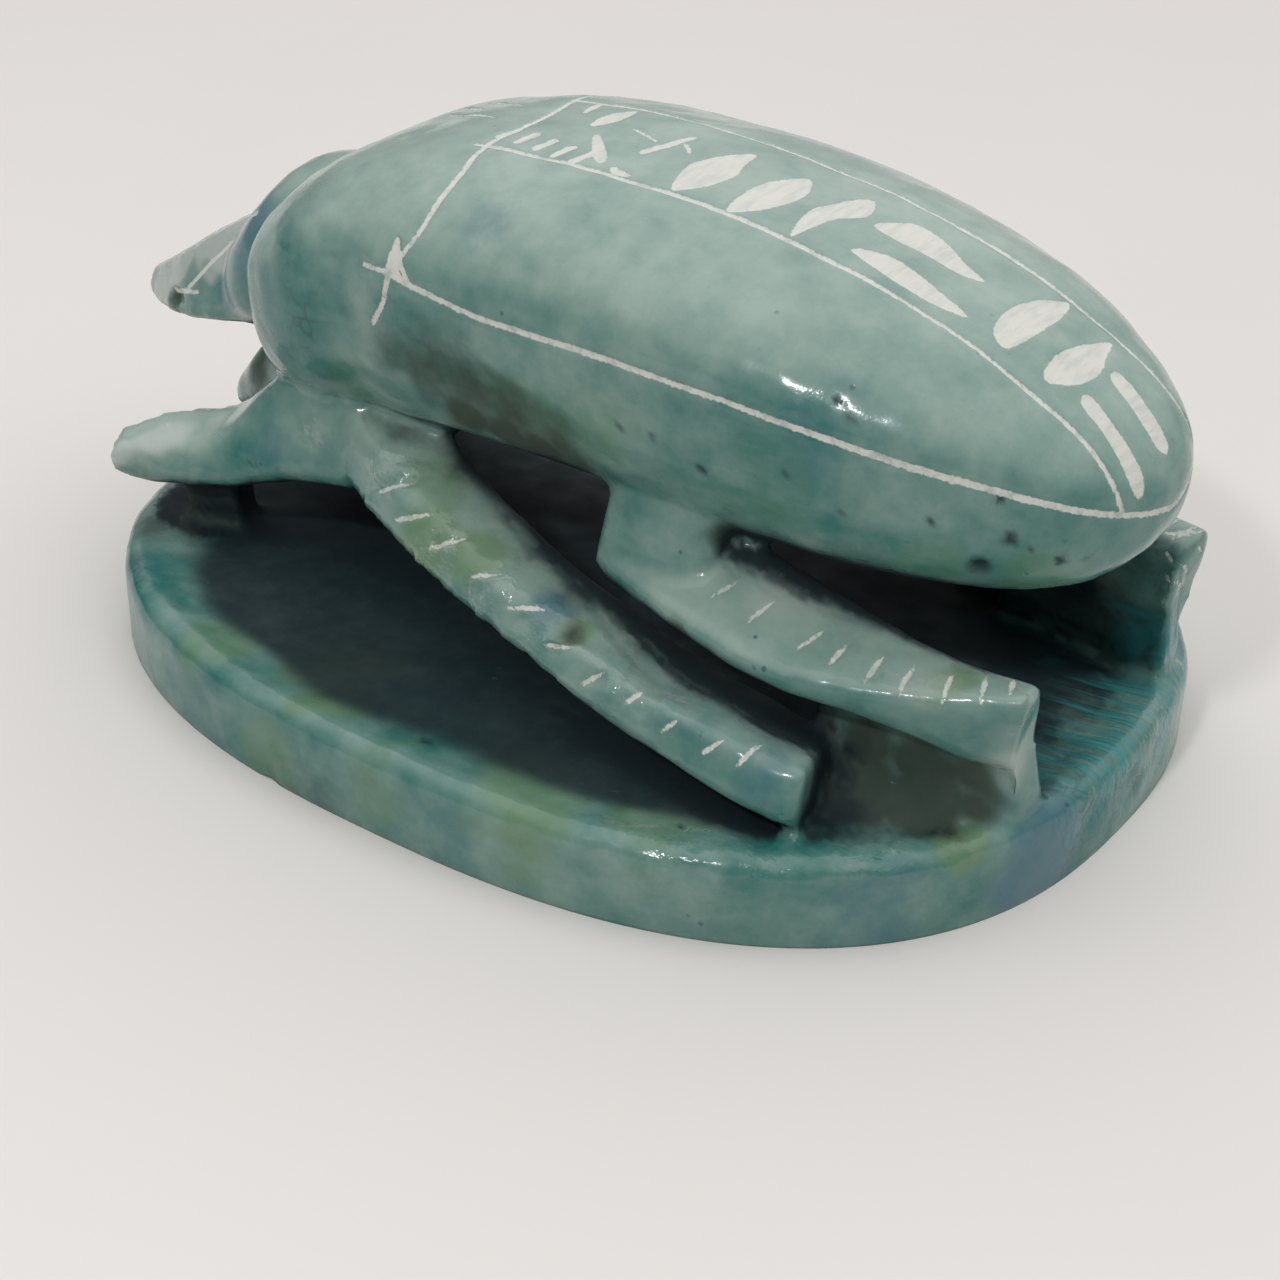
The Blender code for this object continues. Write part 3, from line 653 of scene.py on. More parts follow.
def head_rings(stations, section):
    """Cross sections forward of the neck, each drawn by the section function."""
    neck = BODY_CENTRE - BODY_FRONT_CUT * BODY_FRONT
    line = body_size(neck)[1]
    rings = []
    for k in range((len(stations) - 1) * HEAD_STEPS + 1):
        forward, *sizes = curve_through([[row] for row in stations], k / HEAD_STEPS)[0]
        ring = []
        for angle in ring_angles(HEAD_POINTS):
            across, up = section(angle, *sizes)
            ring.append((across * HEAD_HALF_WIDTH, neck - forward * HEAD_LENGTH, line + up * HEAD_HEIGHT))
        rings.append(ring)
    return rings


def breast_rings():
    """Rounded block under the head that ties the front legs together."""
    rings = []
    for along, half, top, bottom in BREAST:
        ring = []
        for angle in ring_angles(BREAST_POINTS):
            c, s = bow(angle, BREAST_EXPONENT)
            ring.append(place(half * c, along, (top + bottom) / 2 + (top - bottom) / 2 * s))
        rings.append(ring)
    return rings


def lump_mesh():
    """All the carved forms in one mesh, before one skin is drawn over them."""
    lumps = [base_rings(), body_rings()]
    lumps += [head_rings(HEAD, dome_section), head_rings(SHIELD, shield_section), breast_rings()]
    for side in (1.0, -1.0):
        for stations in (FRONT_LEG, MIDDLE_LEG, REAR_LEG):
            lumps.append(limb_rings(stations, side, LEG_STEPS))
        for stations in (THIGH, REAR_WEB, REAR_COVE, FRONT_WEB):
            lumps.append(limb_rings(stations, side, WEB_STEPS))
    bm = bmesh.new()
    for rings in lumps:
        piece = closed_solid("lump", rings)
        bm.from_mesh(piece)
        bpy.data.meshes.remove(piece)
    return finished(bm, "lumps")


def skinned(mesh):
    """One fine skin over the lumps, softened, with the underside cut flat and left as one face."""
    thing = add_object("skin", mesh)
    skin = thing.modifiers.new("one_skin", "REMESH")
    skin.mode = "VOXEL"
    skin.voxel_size = STONE_GRAIN
    soften = thing.modifiers.new("soften", "SMOOTH")
    soften.factor = SOFTENING_FACTOR
    soften.iterations = SOFTENING_ROUNDS
    bpy.context.view_layer.update()
    evaluated = thing.evaluated_get(bpy.context.evaluated_depsgraph_get())
    fine = bpy.data.meshes.new_from_object(evaluated)
    bpy.data.objects.remove(thing)
    bm = bmesh.new()
    bm.from_mesh(fine)
    every = bm.verts[:] + bm.edges[:] + bm.faces[:]
    cut = bmesh.ops.bisect_plane(
        bm, geom=every, dist=1e-6, plane_co=(0, 0, 0), plane_no=(0, 0, 1), clear_inner=True
    )
    rim = [item for item in cut["geom_cut"] if isinstance(item, bmesh.types.BMEdge)]
    bmesh.ops.holes_fill(bm, edges=rim, sides=0)
    bmesh.ops.recalc_face_normals(bm, faces=bm.faces)
    bm.to_mesh(fine)
    bm.free()
    return fine


def vertex_rows(items, key):
    """A three-part value of every vertex, one row each."""
    flat = np.empty(len(items) * 3, dtype=np.float32)
    items.foreach_get(key, flat)
    return flat.reshape(-1, 3).astype(float)


def points_of(mesh):
    """Vertex places in millimetres."""
    return vertex_rows(mesh.vertices, "co") * 1000


def normals_of(mesh):
    """Vertex normals."""
    return vertex_rows(mesh.vertex_normals, "vector")


def store_points(mesh, points):
    """Writes vertex places, given in millimetres."""
    mesh.vertices.foreach_set("co", (points / 1000).astype(np.float32).ravel())
    mesh.update()


def smoothstep(low, high, value):
    """0 below low, 1 above high, with a soft ramp between."""
    t = np.clip((value - low) / (high - low), 0, 1)
    return t * t * (3 - 2 * t)


def ripple(points, size, seed):
    """Soft random field of about unit range; size is its feature size in millimetres."""
    rng = np.random.default_rng(seed)
    total = np.zeros(len(points))
    for _ in range(RIPPLE_WAVES):
        direction = rng.normal(size=3)
        direction *= rng.uniform(0.6, 1.5) * math.pi / size / np.linalg.norm(direction)
        total += np.sin(points @ direction + rng.uniform(0, 2 * math.pi))
    return total / math.sqrt(RIPPLE_WAVES / 2) / 1.6


def away(points, *spot):
    """Distance of each point from one spot."""
    return np.linalg.norm(points - spot, axis=1)


def spots(points, places, core=HARD_CORE):
    """Strength of a set of round patches at each point; core is the share at full strength."""
    wobble = 1 + 0.25 * ripple(points, 5.0, 11) + 0.1 * ripple(points, 1.6, 12)
    total = np.zeros(len(points))
    for x, y, z, radius, strength in places:
        distance = away(points, x, y, z) * wobble
        total = np.maximum(total, strength * smoothstep(radius, core * radius, distance))
    return total


def dense(points, widths):
    """Points along a smoothed stroke with the half width at each."""
    rows = [np.array(tuple(p) + (w,)) for p, w in zip(points, widths)]
    last = len(rows) - 1
    out = []
    for k in range(last):
        before, a, b, after = neighbours(rows, k)
        count = max(2, int(np.linalg.norm((b - a)[:-1]) / STROKE_STEP))
        for i in range(count + (k == last - 1)):
            out.append(between(before, a, b, after, i / count))
    return out


class Surface:
    """Finds points of the stone's surface, in millimetres."""

    def __init__(self, mesh):
        points = points_of(mesh)
        faces = [tuple(face.vertices) for face in mesh.polygons]
        self.tree = BVHTree.FromPolygons([Vector(p) for p in points], faces)

    def nearest(self, point):
        """The surface point nearest to a point."""
        return np.array(self.tree.find_nearest(Vector(point))[0])

    def from_above(self, x, y):
        """The top surface point at x and y."""
        return np.array(self.tree.ray_cast(Vector((x, y, ABOVE_ALL)), Vector((0, 0, -1)))[0])


def steady(count, seed):
    """Uneven hand pressure along a stroke."""
    rng = random.Random(seed)
    return [rng.uniform(*HAND_PRESSURE) for _ in range(count)]


def add_line(out, surface, points, half_width, seed, taper=False):
    """A chalked line through 3-D points, laid on the surface."""
    widths = [half_width * share for share in steady(len(points), seed)]
    if taper:
        widths = [0.5 * widths[0], widths[0], widths[-1], 0.3 * widths[-1]]
        a, b = np.array(points[0]), np.array(points[-1])
        points = [tuple(a + share * (b - a)) for share in TAPER_PLACES]
    for sample in dense(points, widths):
        out.append((surface.nearest(sample[:3]), sample[3]))


def add_mark(out, surface, points, widths):
    """A brushed stroke on the back through (x, y) points."""
    for x, y, width in dense(points, widths):
        out.append((surface.from_above(x, y), width))


def mirrored(points):
    """The same points on the other side of the beetle."""
    return [(-p[0],) + tuple(p[1:]) for p in points]


def chalk_lines(surface):
    """Samples of every thin incised line: on the back, the head and the legs."""
    out = []
    add_line(out, surface, CROSS_LINE, LINE_HALF_WIDTH, 1)
    for side, flip in ((1, lambda points: points), (2, mirrored)):
        add_line(out, surface, flip(EDGE_LINE), LINE_HALF_WIDTH, 10 * side)
        add_line(out, surface, flip(EDGE_CROSSING), 0.8 * LINE_HALF_WIDTH, 10 * side + 1)
        add_line(out, surface, flip(COLUMN_LINE), 0.9 * LINE_HALF_WIDTH, 10 * side + 2)
        for k, stroke in enumerate(CORNER_FAN):
            add_line(out, surface, flip(stroke), LINE_HALF_WIDTH, 10 * side + 3 + k)
        for k, stroke in enumerate(REAR_HATCH + MIDDLE_HATCH):
            add_line(out, surface, flip(stroke), 1.25 * HATCH_HALF_WIDTH, 100 * side + k, taper=True)
    for k, stroke in enumerate(NECK_STROKES):
        points = [tuple(surface.from_above(x, y)) for x, y in stroke]
        add_line(out, surface, points, 0.7 * LINE_HALF_WIDTH, 400 + k, taper=True)
    for k, stroke in enumerate(FAR_FOOT_HATCH):
        add_line(out, surface, stroke, 1.1 * HATCH_HALF_WIDTH, 450 + k)
    for seed, points in ((500, RIDGE_LINE), (502, mirrored(RIDGE_LINE))):
        add_line(out, surface, points, LINE_HALF_WIDTH, seed)
    add_line(out, surface, TIP_LINE, 0.8 * LINE_HALF_WIDTH, 501)
    for k in range(FAN_COUNT):
        across = FAN_END_HALF_WIDTH * (2 * k / (FAN_COUNT - 1) - 1)
        ray = [(0.25 * across,) + FAN_START, (0.55 * across,) + FAN_MIDDLE, (across,) + FAN_END]
        add_line(out, surface, ray, FAN_HALF_WIDTH, 510 + k)
    return out


def chalk_marks(surface):
    """Samples of the broad strokes and the row of dashes in the column."""
    out = []
    for points, widths in COLUMN_STROKES:
        add_mark(out, surface, points, widths)
    for k in range(DASH_COUNT):
        f = k / (DASH_COUNT - 1)
        x = DASH_FIRST[0] + f * (DASH_LAST[0] - DASH_FIRST[0])
        y = DASH_FIRST[1] + f * (DASH_LAST[1] - DASH_FIRST[1])
        ends = [(x - DASH_REACH[0], y - DASH_REACH[1]), (x + DASH_REACH[0], y + DASH_REACH[1])]
        add_mark(out, surface, ends, [DASH_HALF_WIDTH, DASH_HALF_WIDTH])
    return out


def closed_curve(corners):
    """A smooth closed outline through the corners."""
    rows = [np.array(corner) for corner in corners]
    out = []
    for k in range(len(rows)):
        before, a, b, after = (rows[(k + i) % len(rows)] for i in (-1, 0, 1, 2))
        parts = max(2, int(np.linalg.norm(b - a) / OUTLINE_STEP))
        for i in range(parts):
            out.append(between(before, a, b, after, i / parts))
    return np.array(out)


def within_reach(points, samples):
    """Which points lie in or near the box round the samples."""
    low = np.min(samples, axis=0) - GAP_REACH
    high = np.max(samples, axis=0) + GAP_REACH
    return np.all((points > low) & (points < high), axis=1)


def outline_gap(points, corners):
    """Distance in plan from each point of the back to a mark's outline, negative inside."""
    curve = closed_curve(corners)
    near = within_reach(points[:, :2], curve) & (points[:, 2] > MARK_FLOOR)
    x, y = points[near, 0], points[near, 1]
    best = np.full(len(x), GAP_REACH)
    inside = np.zeros(len(x), dtype=bool)
    for (ax, ay), (bx, by) in zip(curve, np.roll(curve, -1, axis=0)):
        ex, ey = bx - ax, by - ay
        along = np.clip(((x - ax) * ex + (y - ay) * ey) / (ex * ex + ey * ey), 0, 1)
        best = np.minimum(best, np.hypot(x - ax - along * ex, y - ay - along * ey))
        slope = ex / ey if ey else 0.0
        inside ^= ((ay > y) != (by > y)) & (x < ax + (y - ay) * slope)
    out = np.full(len(points), GAP_REACH)
    out[near] = np.where(inside, -best, best)
    return out


def edge_distance(points, samples):
    """Distance in millimetres from each point to the edge of the nearest stroke, negative inside."""
    tree = KDTree(len(samples))
    for k, (spot, _) in enumerate(samples):
        tree.insert(spot, k)
    tree.balance()
    out = np.full(len(points), GAP_REACH)
    for i in np.nonzero(within_reach(points, [spot for spot, _ in samples]))[0]:
        _, k, distance = tree.find(points[i])
        out[i] = min(GAP_REACH, distance - samples[k][1])
    return out


def marks_gap(points, marks):
    """Distance to the nearest broad mark, brushed or outlined."""
    gap = edge_distance(points, marks)
    for corners in COLUMN_MARKS:
        gap = np.minimum(gap, outline_gap(points, corners))
    return gap


def refined(mesh, lines, marks):
    """Splits the faces beside each stroke, so that its edges come out crisp."""
    points = points_of(mesh)
    close = np.minimum(edge_distance(points, lines), marks_gap(points, marks))
    bm = bmesh.new()
    bm.from_mesh(mesh)
    bm.verts.ensure_lookup_table()
    band = np.abs(close) < REFINED_BAND
    edges = [e for e in bm.edges if band[e.verts[0].index] and band[e.verts[1].index]]
    bmesh.ops.subdivide_edges(bm, edges=edges, cuts=1, use_grid_fill=True)
    bm.to_mesh(mesh)
    bm.free()
    return mesh


def carve(mesh, lines, marks):
    """Cuts the strokes, pits, chips and unevenness; returns the gaps, rasping and pit stain."""
    points = points_of(mesh)
    normals = normals_of(mesh)
    line_gap = edge_distance(points, lines)
    mark_gap = marks_gap(points, marks)
    depth = LINE_DEPTH * smoothstep(0.10, -0.22, line_gap)
    depth = np.maximum(depth, MARK_DEPTH * smoothstep(0.10, -0.20, mark_gap))
    stain = np.zeros(len(points))
    for x, y, z, radius in PITS:
        distance = away(points, x, y, z)
        depth += 0.8 * radius * smoothstep(1.15 * radius, 0.3 * radius, distance)
        stain = np.maximum(stain, smoothstep(1.7 * radius, 0.7 * radius, distance))
    for x, y, z, radius, deep in SCOOPS:
        distance = away(points, x, y, z) / radius
        depth += deep * np.clip(1 - distance * distance, 0, 1) ** 2
    wobble = 1 + 0.30 * ripple(points, 1.4, 21)
    for x, y, z, radius, deep in CHIPS:
        distance = away(points, x, y, z) * wobble
        depth += deep * smoothstep(radius, 0.35 * radius, distance)
    bumps = sum(height * ripple(points, size, seed) for height, size, seed in HAND_BUMPS)
    crust = spots(points, PATCHES["rough"])
    bumps += CRUST_HEIGHT * np.minimum(crust, 1.2) * ripple(points, 1.25, 33)
    waves = np.sin(points[:, 1] * math.pi + 2.2 * ripple(points, 3.0, 35))
    bumps += WAVE_HEIGHT * np.clip(crust - 1, 0, 0.7) * smoothstep(0.25, 0.6, normals[:, 2]) * waves
    rasp = spots(points, RASPED)
    furrows = np.sin(points[:, 0] * 2 * math.pi / RASP_PITCH + 0.8 * ripple(points, 9.0, 34))
    bumps += RASP_HEIGHT * rasp * furrows
    bumps *= smoothstep(0.0, 0.6, points[:, 2])
    store_points(mesh, points - normals * (depth - bumps)[:, None])
    return line_gap, mark_gap, rasp, stain


def openness(mesh):
    """Share of the outlook of each vertex that the stone itself leaves free."""
    points = points_of(mesh)
    normals = normals_of(mesh)
    surface = Surface(mesh)
    fan = []
    for k in range(OUTLOOK_RAYS):
        height = math.sqrt((k + 0.5) / OUTLOOK_RAYS)
        turn = k * math.pi * (3 - math.sqrt(5))
        flat = math.sqrt(1 - height * height)
        fan.append(Vector((flat * math.cos(turn), flat * math.sin(turn), height)))
    free = np.ones(len(points))
    for i, (p, n) in enumerate(zip(points, normals)):
        axis = Vector(n)
        turn = axis.to_track_quat("Z", "Y").to_matrix()
        start = Vector(p) + axis * OUTLOOK_START
        hits = [surface.tree.ray_cast(start, turn @ ray, OUTLOOK_REACH)[0] for ray in fan]
        free[i] = 1 - sum(hit is not None for hit in hits) / OUTLOOK_RAYS
    return free


def recess_dye_and_shade(points, normals, free):
    """Dark dye and painted shade in the recesses: where the stone hides itself, and on the plate inside its
    rim.
    """
    # Painted shade where the stone blocks its own outlook, darkest deep under the body
    dye_and_shade = smoothstep(0.28, 0.66, 1 - free) * (1 - spots(points, UNSHADED_PLACES, SOFT_CORE))
    # On the plate inside its rim: dye and a painted shadow of the body
    across = np.abs(points[:, 0] / (HALF_WIDTH * 1000)) ** BASE_EXPONENT
    along = np.abs(points[:, 1] / (HALF_LENGTH * 1000)) ** BASE_EXPONENT
    ring = (across + along) ** (1 / BASE_EXPONENT) + 0.02 * ripple(points, 7.0, 41)
    plate = smoothstep(PLATE_DYE_AND_SHADE_EDGE, PLATE_DYE_AND_SHADE_EDGE - 0.10, ring)
    plate *= smoothstep(0.5, 0.9, normals[:, 2]) * smoothstep(9.5, 8.3, points[:, 2])
    return np.maximum(dye_and_shade, PLATE_DYE_AND_SHADE * plate)


def add_attribute(mesh, name, values):
    """Stores one number for each vertex under a name."""
    layer = mesh.attributes.new(name, "FLOAT", "POINT")
    layer.data.foreach_set("value", values.astype(np.float32))


def carved_scarab():
    """The whole fine mesh with the attributes its material reads."""
    mesh = skinned(lump_mesh())
    surface = Surface(mesh)
    lines = chalk_lines(surface)
    marks = chalk_marks(surface)
    mesh = refined(mesh, lines, marks)
    free = openness(mesh)
    line_gap, mark_gap, rasp, stain = carve(mesh, lines, marks)
    points = points_of(mesh)
    add_attribute(mesh, "line_gap", line_gap)
    add_attribute(mesh, "mark_gap", mark_gap)
    add_attribute(mesh, "rasped", rasp)
    add_attribute(mesh, "pitted", stain)
    add_attribute(mesh, "dye_and_shade_share", recess_dye_and_shade(points, normals_of(mesh), free))
    for tint, places in PATCHES.items():
        add_attribute(mesh, tint, spots(points, places, SOFT_CORE if tint in SOFT_PATCHES else HARD_CORE))
    mesh.transform(Matrix.Translation((0, PLATE_SHIFT, 0)))
    mesh.polygons.foreach_set("use_smooth", [True] * len(mesh.polygons))
    return add_object("carved_scarab", mesh)


class Nodes:
    """Short hand for building the node tree of a material or the world."""

    def __init__(self, owner, shader="Principled BSDF", coords="Object"):
        owner.use_nodes = True
        self.tree = owner.node_tree
        self.shader = self.tree.nodes[shader]
        self.coords = self.add("ShaderNodeTexCoord").outputs[coords]

    def add(self, kind, **settings):
        """A new node with its settings."""
        node = self.tree.nodes.new(kind)
        for key, value in settings.items():
            setattr(node, key, value)
        return node

    def feed(self, node, key, value):
        """Links a socket or sets a plain value."""
        if isinstance(value, bpy.types.NodeSocket):
            self.tree.links.new(value, node.inputs[key])
        else:
            node.inputs[key].default_value = value

    def math(self, operation, a, b=0.0, clamp=False):
        """Any two-number sum."""
        node = self.add("ShaderNodeMath", operation=operation, use_clamp=clamp)
        self.feed(node, 0, a)
        self.feed(node, 1, b)
        return node.outputs[0]

    def times(self, a, b):
        """Product of two values."""
        return self.math("MULTIPLY", a, b)

    def plus(self, a, b, clamp=False):
        """Sum of two values."""
        return self.math("ADD", a, b, clamp)

    def swing(self, noise, reach):
        """A noise centred on nought and scaled by its reach."""
        return self.times(self.math("SUBTRACT", noise, 0.5), reach)

    def ramp(self, value, low, high, to_low=0.0, to_high=1.0):
        """Soft ramp of a value from one range to another."""
        node = self.add("ShaderNodeMapRange", interpolation_type="SMOOTHSTEP")
        self.feed(node, "Value", value)
        for key, number in (("From Min", low), ("From Max", high), ("To Min", to_low), ("To Max", to_high)):
            self.feed(node, key, number)
        return node.outputs[0]

    def attribute(self, name):
        """A value stored on the mesh."""
        return self.add("ShaderNodeAttribute", attribute_name=name).outputs["Fac"]

    def axis(self, vector, name):
        """One part of a vector."""
        split = self.add("ShaderNodeSeparateXYZ")
        self.feed(split, 0, vector)
        return split.outputs[name]

    def noise(self, name):
        """The noise of that name, stretched where its row says so."""
        scale, detail, roughness, *stretch = NOISES[name]
        coords = self.coords
        if stretch:
            mapping = self.add("ShaderNodeMapping")
            self.feed(mapping, "Vector", coords)
            self.feed(mapping, "Scale", stretch[0])
            coords = mapping.outputs[0]
        node = self.add("ShaderNodeTexNoise")
        self.feed(node, "Vector", coords)
        self.feed(node, "Scale", scale)
        self.feed(node, "Detail", detail)
        self.feed(node, "Roughness", roughness)
        return node.outputs["Fac"]

    def warped(self, scale, reach):
        """Coordinates pushed about by a noise."""
        noise = self.add("ShaderNodeTexNoise")
        self.feed(noise, "Vector", self.coords)
        self.feed(noise, "Scale", scale)
        push = self.add("ShaderNodeVectorMath", operation="MULTIPLY_ADD")
        self.feed(push, 0, noise.outputs["Color"])
        self.feed(push, 1, (reach, reach, reach))
        self.feed(push, 2, self.coords)
        return push.outputs[0]

    def cells(self, coords, scale, feature="F1"):
        """Distance inside a pattern of cells."""
        node = self.add("ShaderNodeTexVoronoi", feature=feature)
        self.feed(node, "Vector", coords)
        self.feed(node, "Scale", scale)
        return node.outputs["Distance"]

    def mix(self, factor, a, b):
        """Colour b laid over colour a."""
        node = self.add("ShaderNodeMix", data_type="RGBA")
        self.feed(node, 0, factor)
        self.feed(node, 6, a)
        self.feed(node, 7, b)
        return node.outputs[2]


def stone_material():
    """Blue-green dye over pale soapstone, chalk in the cuts, varnish over all."""
    material = bpy.data.materials.new("dyed_soapstone_fine")
    n = Nodes(material)
    facing_up = n.axis(n.add("ShaderNodeNewGeometry").outputs["Normal"], "Z")
    height = n.axis(n.coords, "Z")
    middle = n.noise("middle")

    # Dye: little where the stone faces up and was rubbed, more on flanks and plate
    lying = n.ramp(facing_up, 0.05, 0.95)
    legs = n.ramp(height, 0.010, 0.017, 0.0, 0.72)
    back = n.ramp(height, 0.036, 0.046, 0.0, 0.10)
    worn = n.times(lying, n.plus(legs, back))
    dye = n.math("SUBTRACT", DYE_SHARE, n.times(worn, RUBBED_SHARE))
    dye = n.plus(dye, n.swing(n.noise("broad"), 1.0))
    dye = n.plus(dye, n.times(n.attribute("teal"), 0.40))
    dye = n.plus(dye, n.swing(middle, 0.9), clamp=True)
    colour = n.mix(dye, PALE, TEAL)
    rubbed = n.times(n.ramp(n.noise("streaks"), 0.45, 0.75), STREAK_COVER)
    colour = n.mix(rubbed, colour, PALE)

    # Patches of tint over the dye, then grime and painted shade
    for tint, shade, cover in TINTS:
        share = n.plus(n.attribute(tint), n.swing(middle, 0.8))
        colour = n.mix(n.times(n.ramp(share, 0.15, 0.95), cover), colour, shade)
    # Dark patches: part grime, part painted shade in the cove under the rear leg, under the front leg and
    # at the breast
    share = n.plus(n.attribute("dirt_and_shade"), n.swing(middle, 0.45))
    grime_and_shade = n.ramp(share, 0.08, 0.85)
    colour = n.mix(n.times(grime_and_shade, GRIME_AND_SHADE_COVER), colour, DIRT_AND_SHADE)

    # Painted shade, together with dye that gathers, where the stone hides itself and on the plate inside
    # its rim
    dye_and_shade = n.plus(n.attribute("dye_and_shade_share"), n.swing(middle, 0.25))
    dye_and_shade = n.ramp(dye_and_shade, 0.05, 0.95)
    colour = n.mix(n.times(dye_and_shade, DYE_AND_SHADE_COVER), colour, SHADOW_DYE)

    # File strokes at the tail cut through the dark dye
    filed = n.ramp(n.noise("filed"), 0.42, 0.58)
    filed = n.times(n.times(filed, n.attribute("rasped")), FILED_COVER)
    colour = n.mix(filed, colour, RASPED_DYE)

    # Dark specks and stained pinholes
    dots = n.ramp(n.cells(n.coords, SPECK_SCALE), 0.16, 0.08)
    thin = n.ramp(n.noise("thinning"), 0.56, 0.70)
    dots = n.times(n.times(dots, thin), SPECK_COVER)
    colour = n.mix(dots, colour, DEEP_BLUE)
    colour = n.mix(n.times(n.attribute("pitted"), PIT_COVER), colour, SHADOW_DYE)

    # Fine dark cracks in the thick dye
    edges = n.cells(n.warped(300, 0.003), CRACK_SCALE, "DISTANCE_TO_EDGE")
    cracks = n.ramp(edges, 0.08, 0.0)
    thick = n.times(n.attribute("teal"), n.noise("thickness"))
    thick = n.ramp(thick, 0.28, 0.55, 0.0, CRACK_COVER)
    colour = n.mix(n.times(cracks, thick), colour, SHADOW_DYE)

    # Chalk in the cuts, with broken edges
    frayed = n.swing(n.noise("frayed"), 0.34)
    line = n.ramp(n.plus(n.attribute("line_gap"), frayed), 0.05, -0.07)
    mark = n.ramp(n.plus(n.attribute("mark_gap"), frayed), 0.05, -0.07)
    rub = n.ramp(n.noise("rubbed"), 0.30, 0.55, 0.55, 1.0)
    brushed = n.ramp(n.noise("brushed"), 0.3, 0.6, 0.72, 1.0)
    chalk = n.math("MAXIMUM", n.times(line, rub), n.times(mark, brushed))
    chalk = n.times(chalk, CHALK_COVER)
    n.feed(n.shader, "Base Color", n.mix(chalk, colour, CHALK))

    # Varnish: glossy where smooth, sparkling where the stone under it is rough
    rough = n.attribute("rough")
    gloss = n.plus(n.ramp(middle, 0.3, 0.7, 0.16, 0.30), n.times(rough, -0.06))
    gloss = n.plus(gloss, n.times(chalk, 0.45))
    dull = n.math("MAXIMUM", n.math("MAXIMUM", dye_and_shade, grime_and_shade), n.attribute("pitted"))
    gloss = n.plus(gloss, n.times(dull, 0.50))
    n.feed(n.shader, "Roughness", gloss)
    n.feed(n.shader, "IOR", STONE_IOR)
    n.feed(n.shader, "Specular IOR Level", STONE_SPECULAR)
    varnish = n.plus(VARNISH, n.times(rough, CRUST_VARNISH), clamp=True)
    n.feed(n.shader, "Coat Weight", n.times(varnish, n.math("SUBTRACT", 1.0, dull)))
    n.feed(n.shader, "Coat Roughness", VARNISH_ROUGHNESS)

    # Relief too fine for the mesh
    grain = n.swing(n.noise("fine"), 0.10)
    grain = n.plus(grain, n.swing(n.noise("scratch"), 0.05))
    grain = n.plus(grain, n.times(n.swing(n.noise("crust"), 0.75), rough))
    grain = n.plus(grain, n.times(n.swing(n.noise("comb"), 1.1), n.attribute("rasped")))
    grain = n.math("SUBTRACT", grain, n.times(dots, 0.25))
    bump = n.add("ShaderNodeBump")
    n.feed(bump, "Distance", RELIEF_HEIGHT)
    n.feed(bump, "Strength", RELIEF_STRENGTH)
    n.feed(bump, "Height", grain)
    n.feed(n.shader, "Normal", bump.outputs[0])
    n.feed(n.shader, "Coat Normal", bump.outputs[0])
    return material


def paper_floor():
    """A sheet of plain paper."""
    bm = bmesh.new()
    bmesh.ops.create_grid(bm, x_segments=1, y_segments=1, size=PAPER_REACH)
    floor = add_object("floor", finished(bm, "floor"))
    material = bpy.data.materials.new("paper")
    n = Nodes(material)
    n.feed(n.shader, "Roughness", 0.9)
    n.feed(n.shader, "Specular IOR Level", 0.2)
    tone = n.ramp(n.noise("paper"), 0.3, 0.7)
    darker = tuple(0.985 * c for c in PAPER[:3]) + (1.0,)
    n.feed(n.shader, "Base Color", n.mix(tone, PAPER, darker))
    floor.data.materials.append(material)


def toward(azimuth, elevation):
    """Unit vector pointing from the object to a place at that azimuth and elevation, in degrees."""
    a = math.radians(azimuth)
    e = math.radians(elevation)
    return Vector((math.sin(a) * math.cos(e), -math.cos(a) * math.cos(e), math.sin(e)))


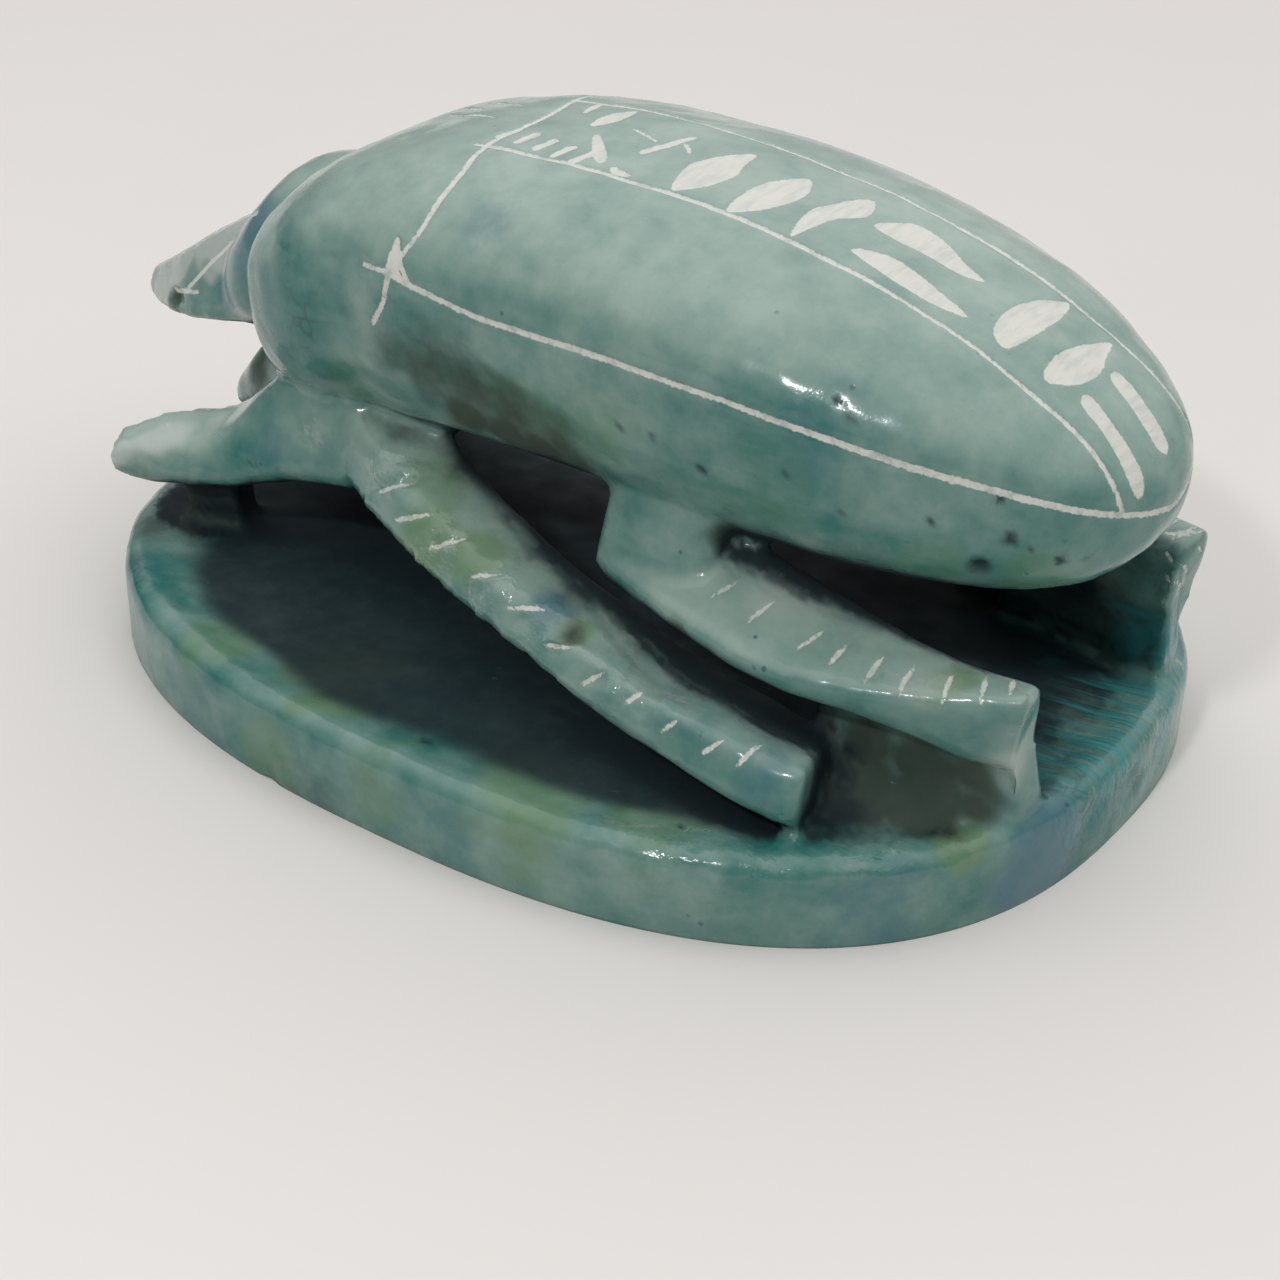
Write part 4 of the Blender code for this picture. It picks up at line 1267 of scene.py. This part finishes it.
def add_light(name, azimuth, elevation, distance, width, height, power):
    """A soft rectangular lamp aimed at the middle of the scarab."""
    data = bpy.data.lights.new(name, "AREA")
    data.shape = "RECTANGLE"
    data.size = width
    data.size_y = height
    data.energy = power
    lamp = add_object(name, data)
    direction = toward(azimuth, elevation)
    lamp.location = Vector(LAMP_TARGET) + direction * distance
    lamp.rotation_mode = "QUATERNION"
    lamp.rotation_quaternion = (-direction).to_track_quat("-Z", "Y")


def light_scene():
    """Soft room light, brightest toward one side of the ceiling, with one small window."""
    world = bpy.data.worlds.new("room")
    bpy.context.scene.world = world
    n = Nodes(world, "Background", "Generated")
    facing = n.add("ShaderNodeVectorMath", operation="DOT_PRODUCT")
    n.feed(facing, 0, n.coords)
    n.feed(facing, 1, toward(*ROOM_BRIGHT_SIDE))
    n.feed(n.shader, "Color", ROOM_COLOUR)
    n.feed(n.shader, "Strength", n.ramp(facing.outputs["Value"], *ROOM_RANGE))
    add_light("window", *WINDOW)


def place_camera():
    """Camera at the photograph's viewing angle."""
    data = bpy.data.cameras.new("camera")
    data.lens = CAMERA_LENS
    data.sensor_width = 36.0
    data.clip_start = 0.01
    camera = add_object("camera", data)
    back = toward(CAMERA_AZIMUTH, CAMERA_ELEVATION)
    turn = back.to_track_quat("Z", "Y").to_matrix().to_4x4()
    roll = Matrix.Rotation(math.radians(CAMERA_ROLL), 4, "Z")
    spot = Vector(CAMERA_PLACE) + Vector((0, PLATE_SHIFT, 0))
    camera.matrix_world = Matrix.Translation(spot) @ turn @ roll
    bpy.context.scene.camera = camera


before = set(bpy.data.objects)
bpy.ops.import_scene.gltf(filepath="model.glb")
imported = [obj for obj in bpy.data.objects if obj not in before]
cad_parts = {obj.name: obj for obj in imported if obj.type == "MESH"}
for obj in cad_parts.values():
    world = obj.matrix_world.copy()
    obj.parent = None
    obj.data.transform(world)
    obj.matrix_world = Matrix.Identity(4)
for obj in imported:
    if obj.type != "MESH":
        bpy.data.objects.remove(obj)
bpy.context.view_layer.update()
scarab = carved_scarab()
scarab.data.materials.append(stone_material())
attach(scarab, "root")
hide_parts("scarab")
paper_floor()
light_scene()
place_camera()
bpy.context.scene.view_settings.view_transform = "Standard"
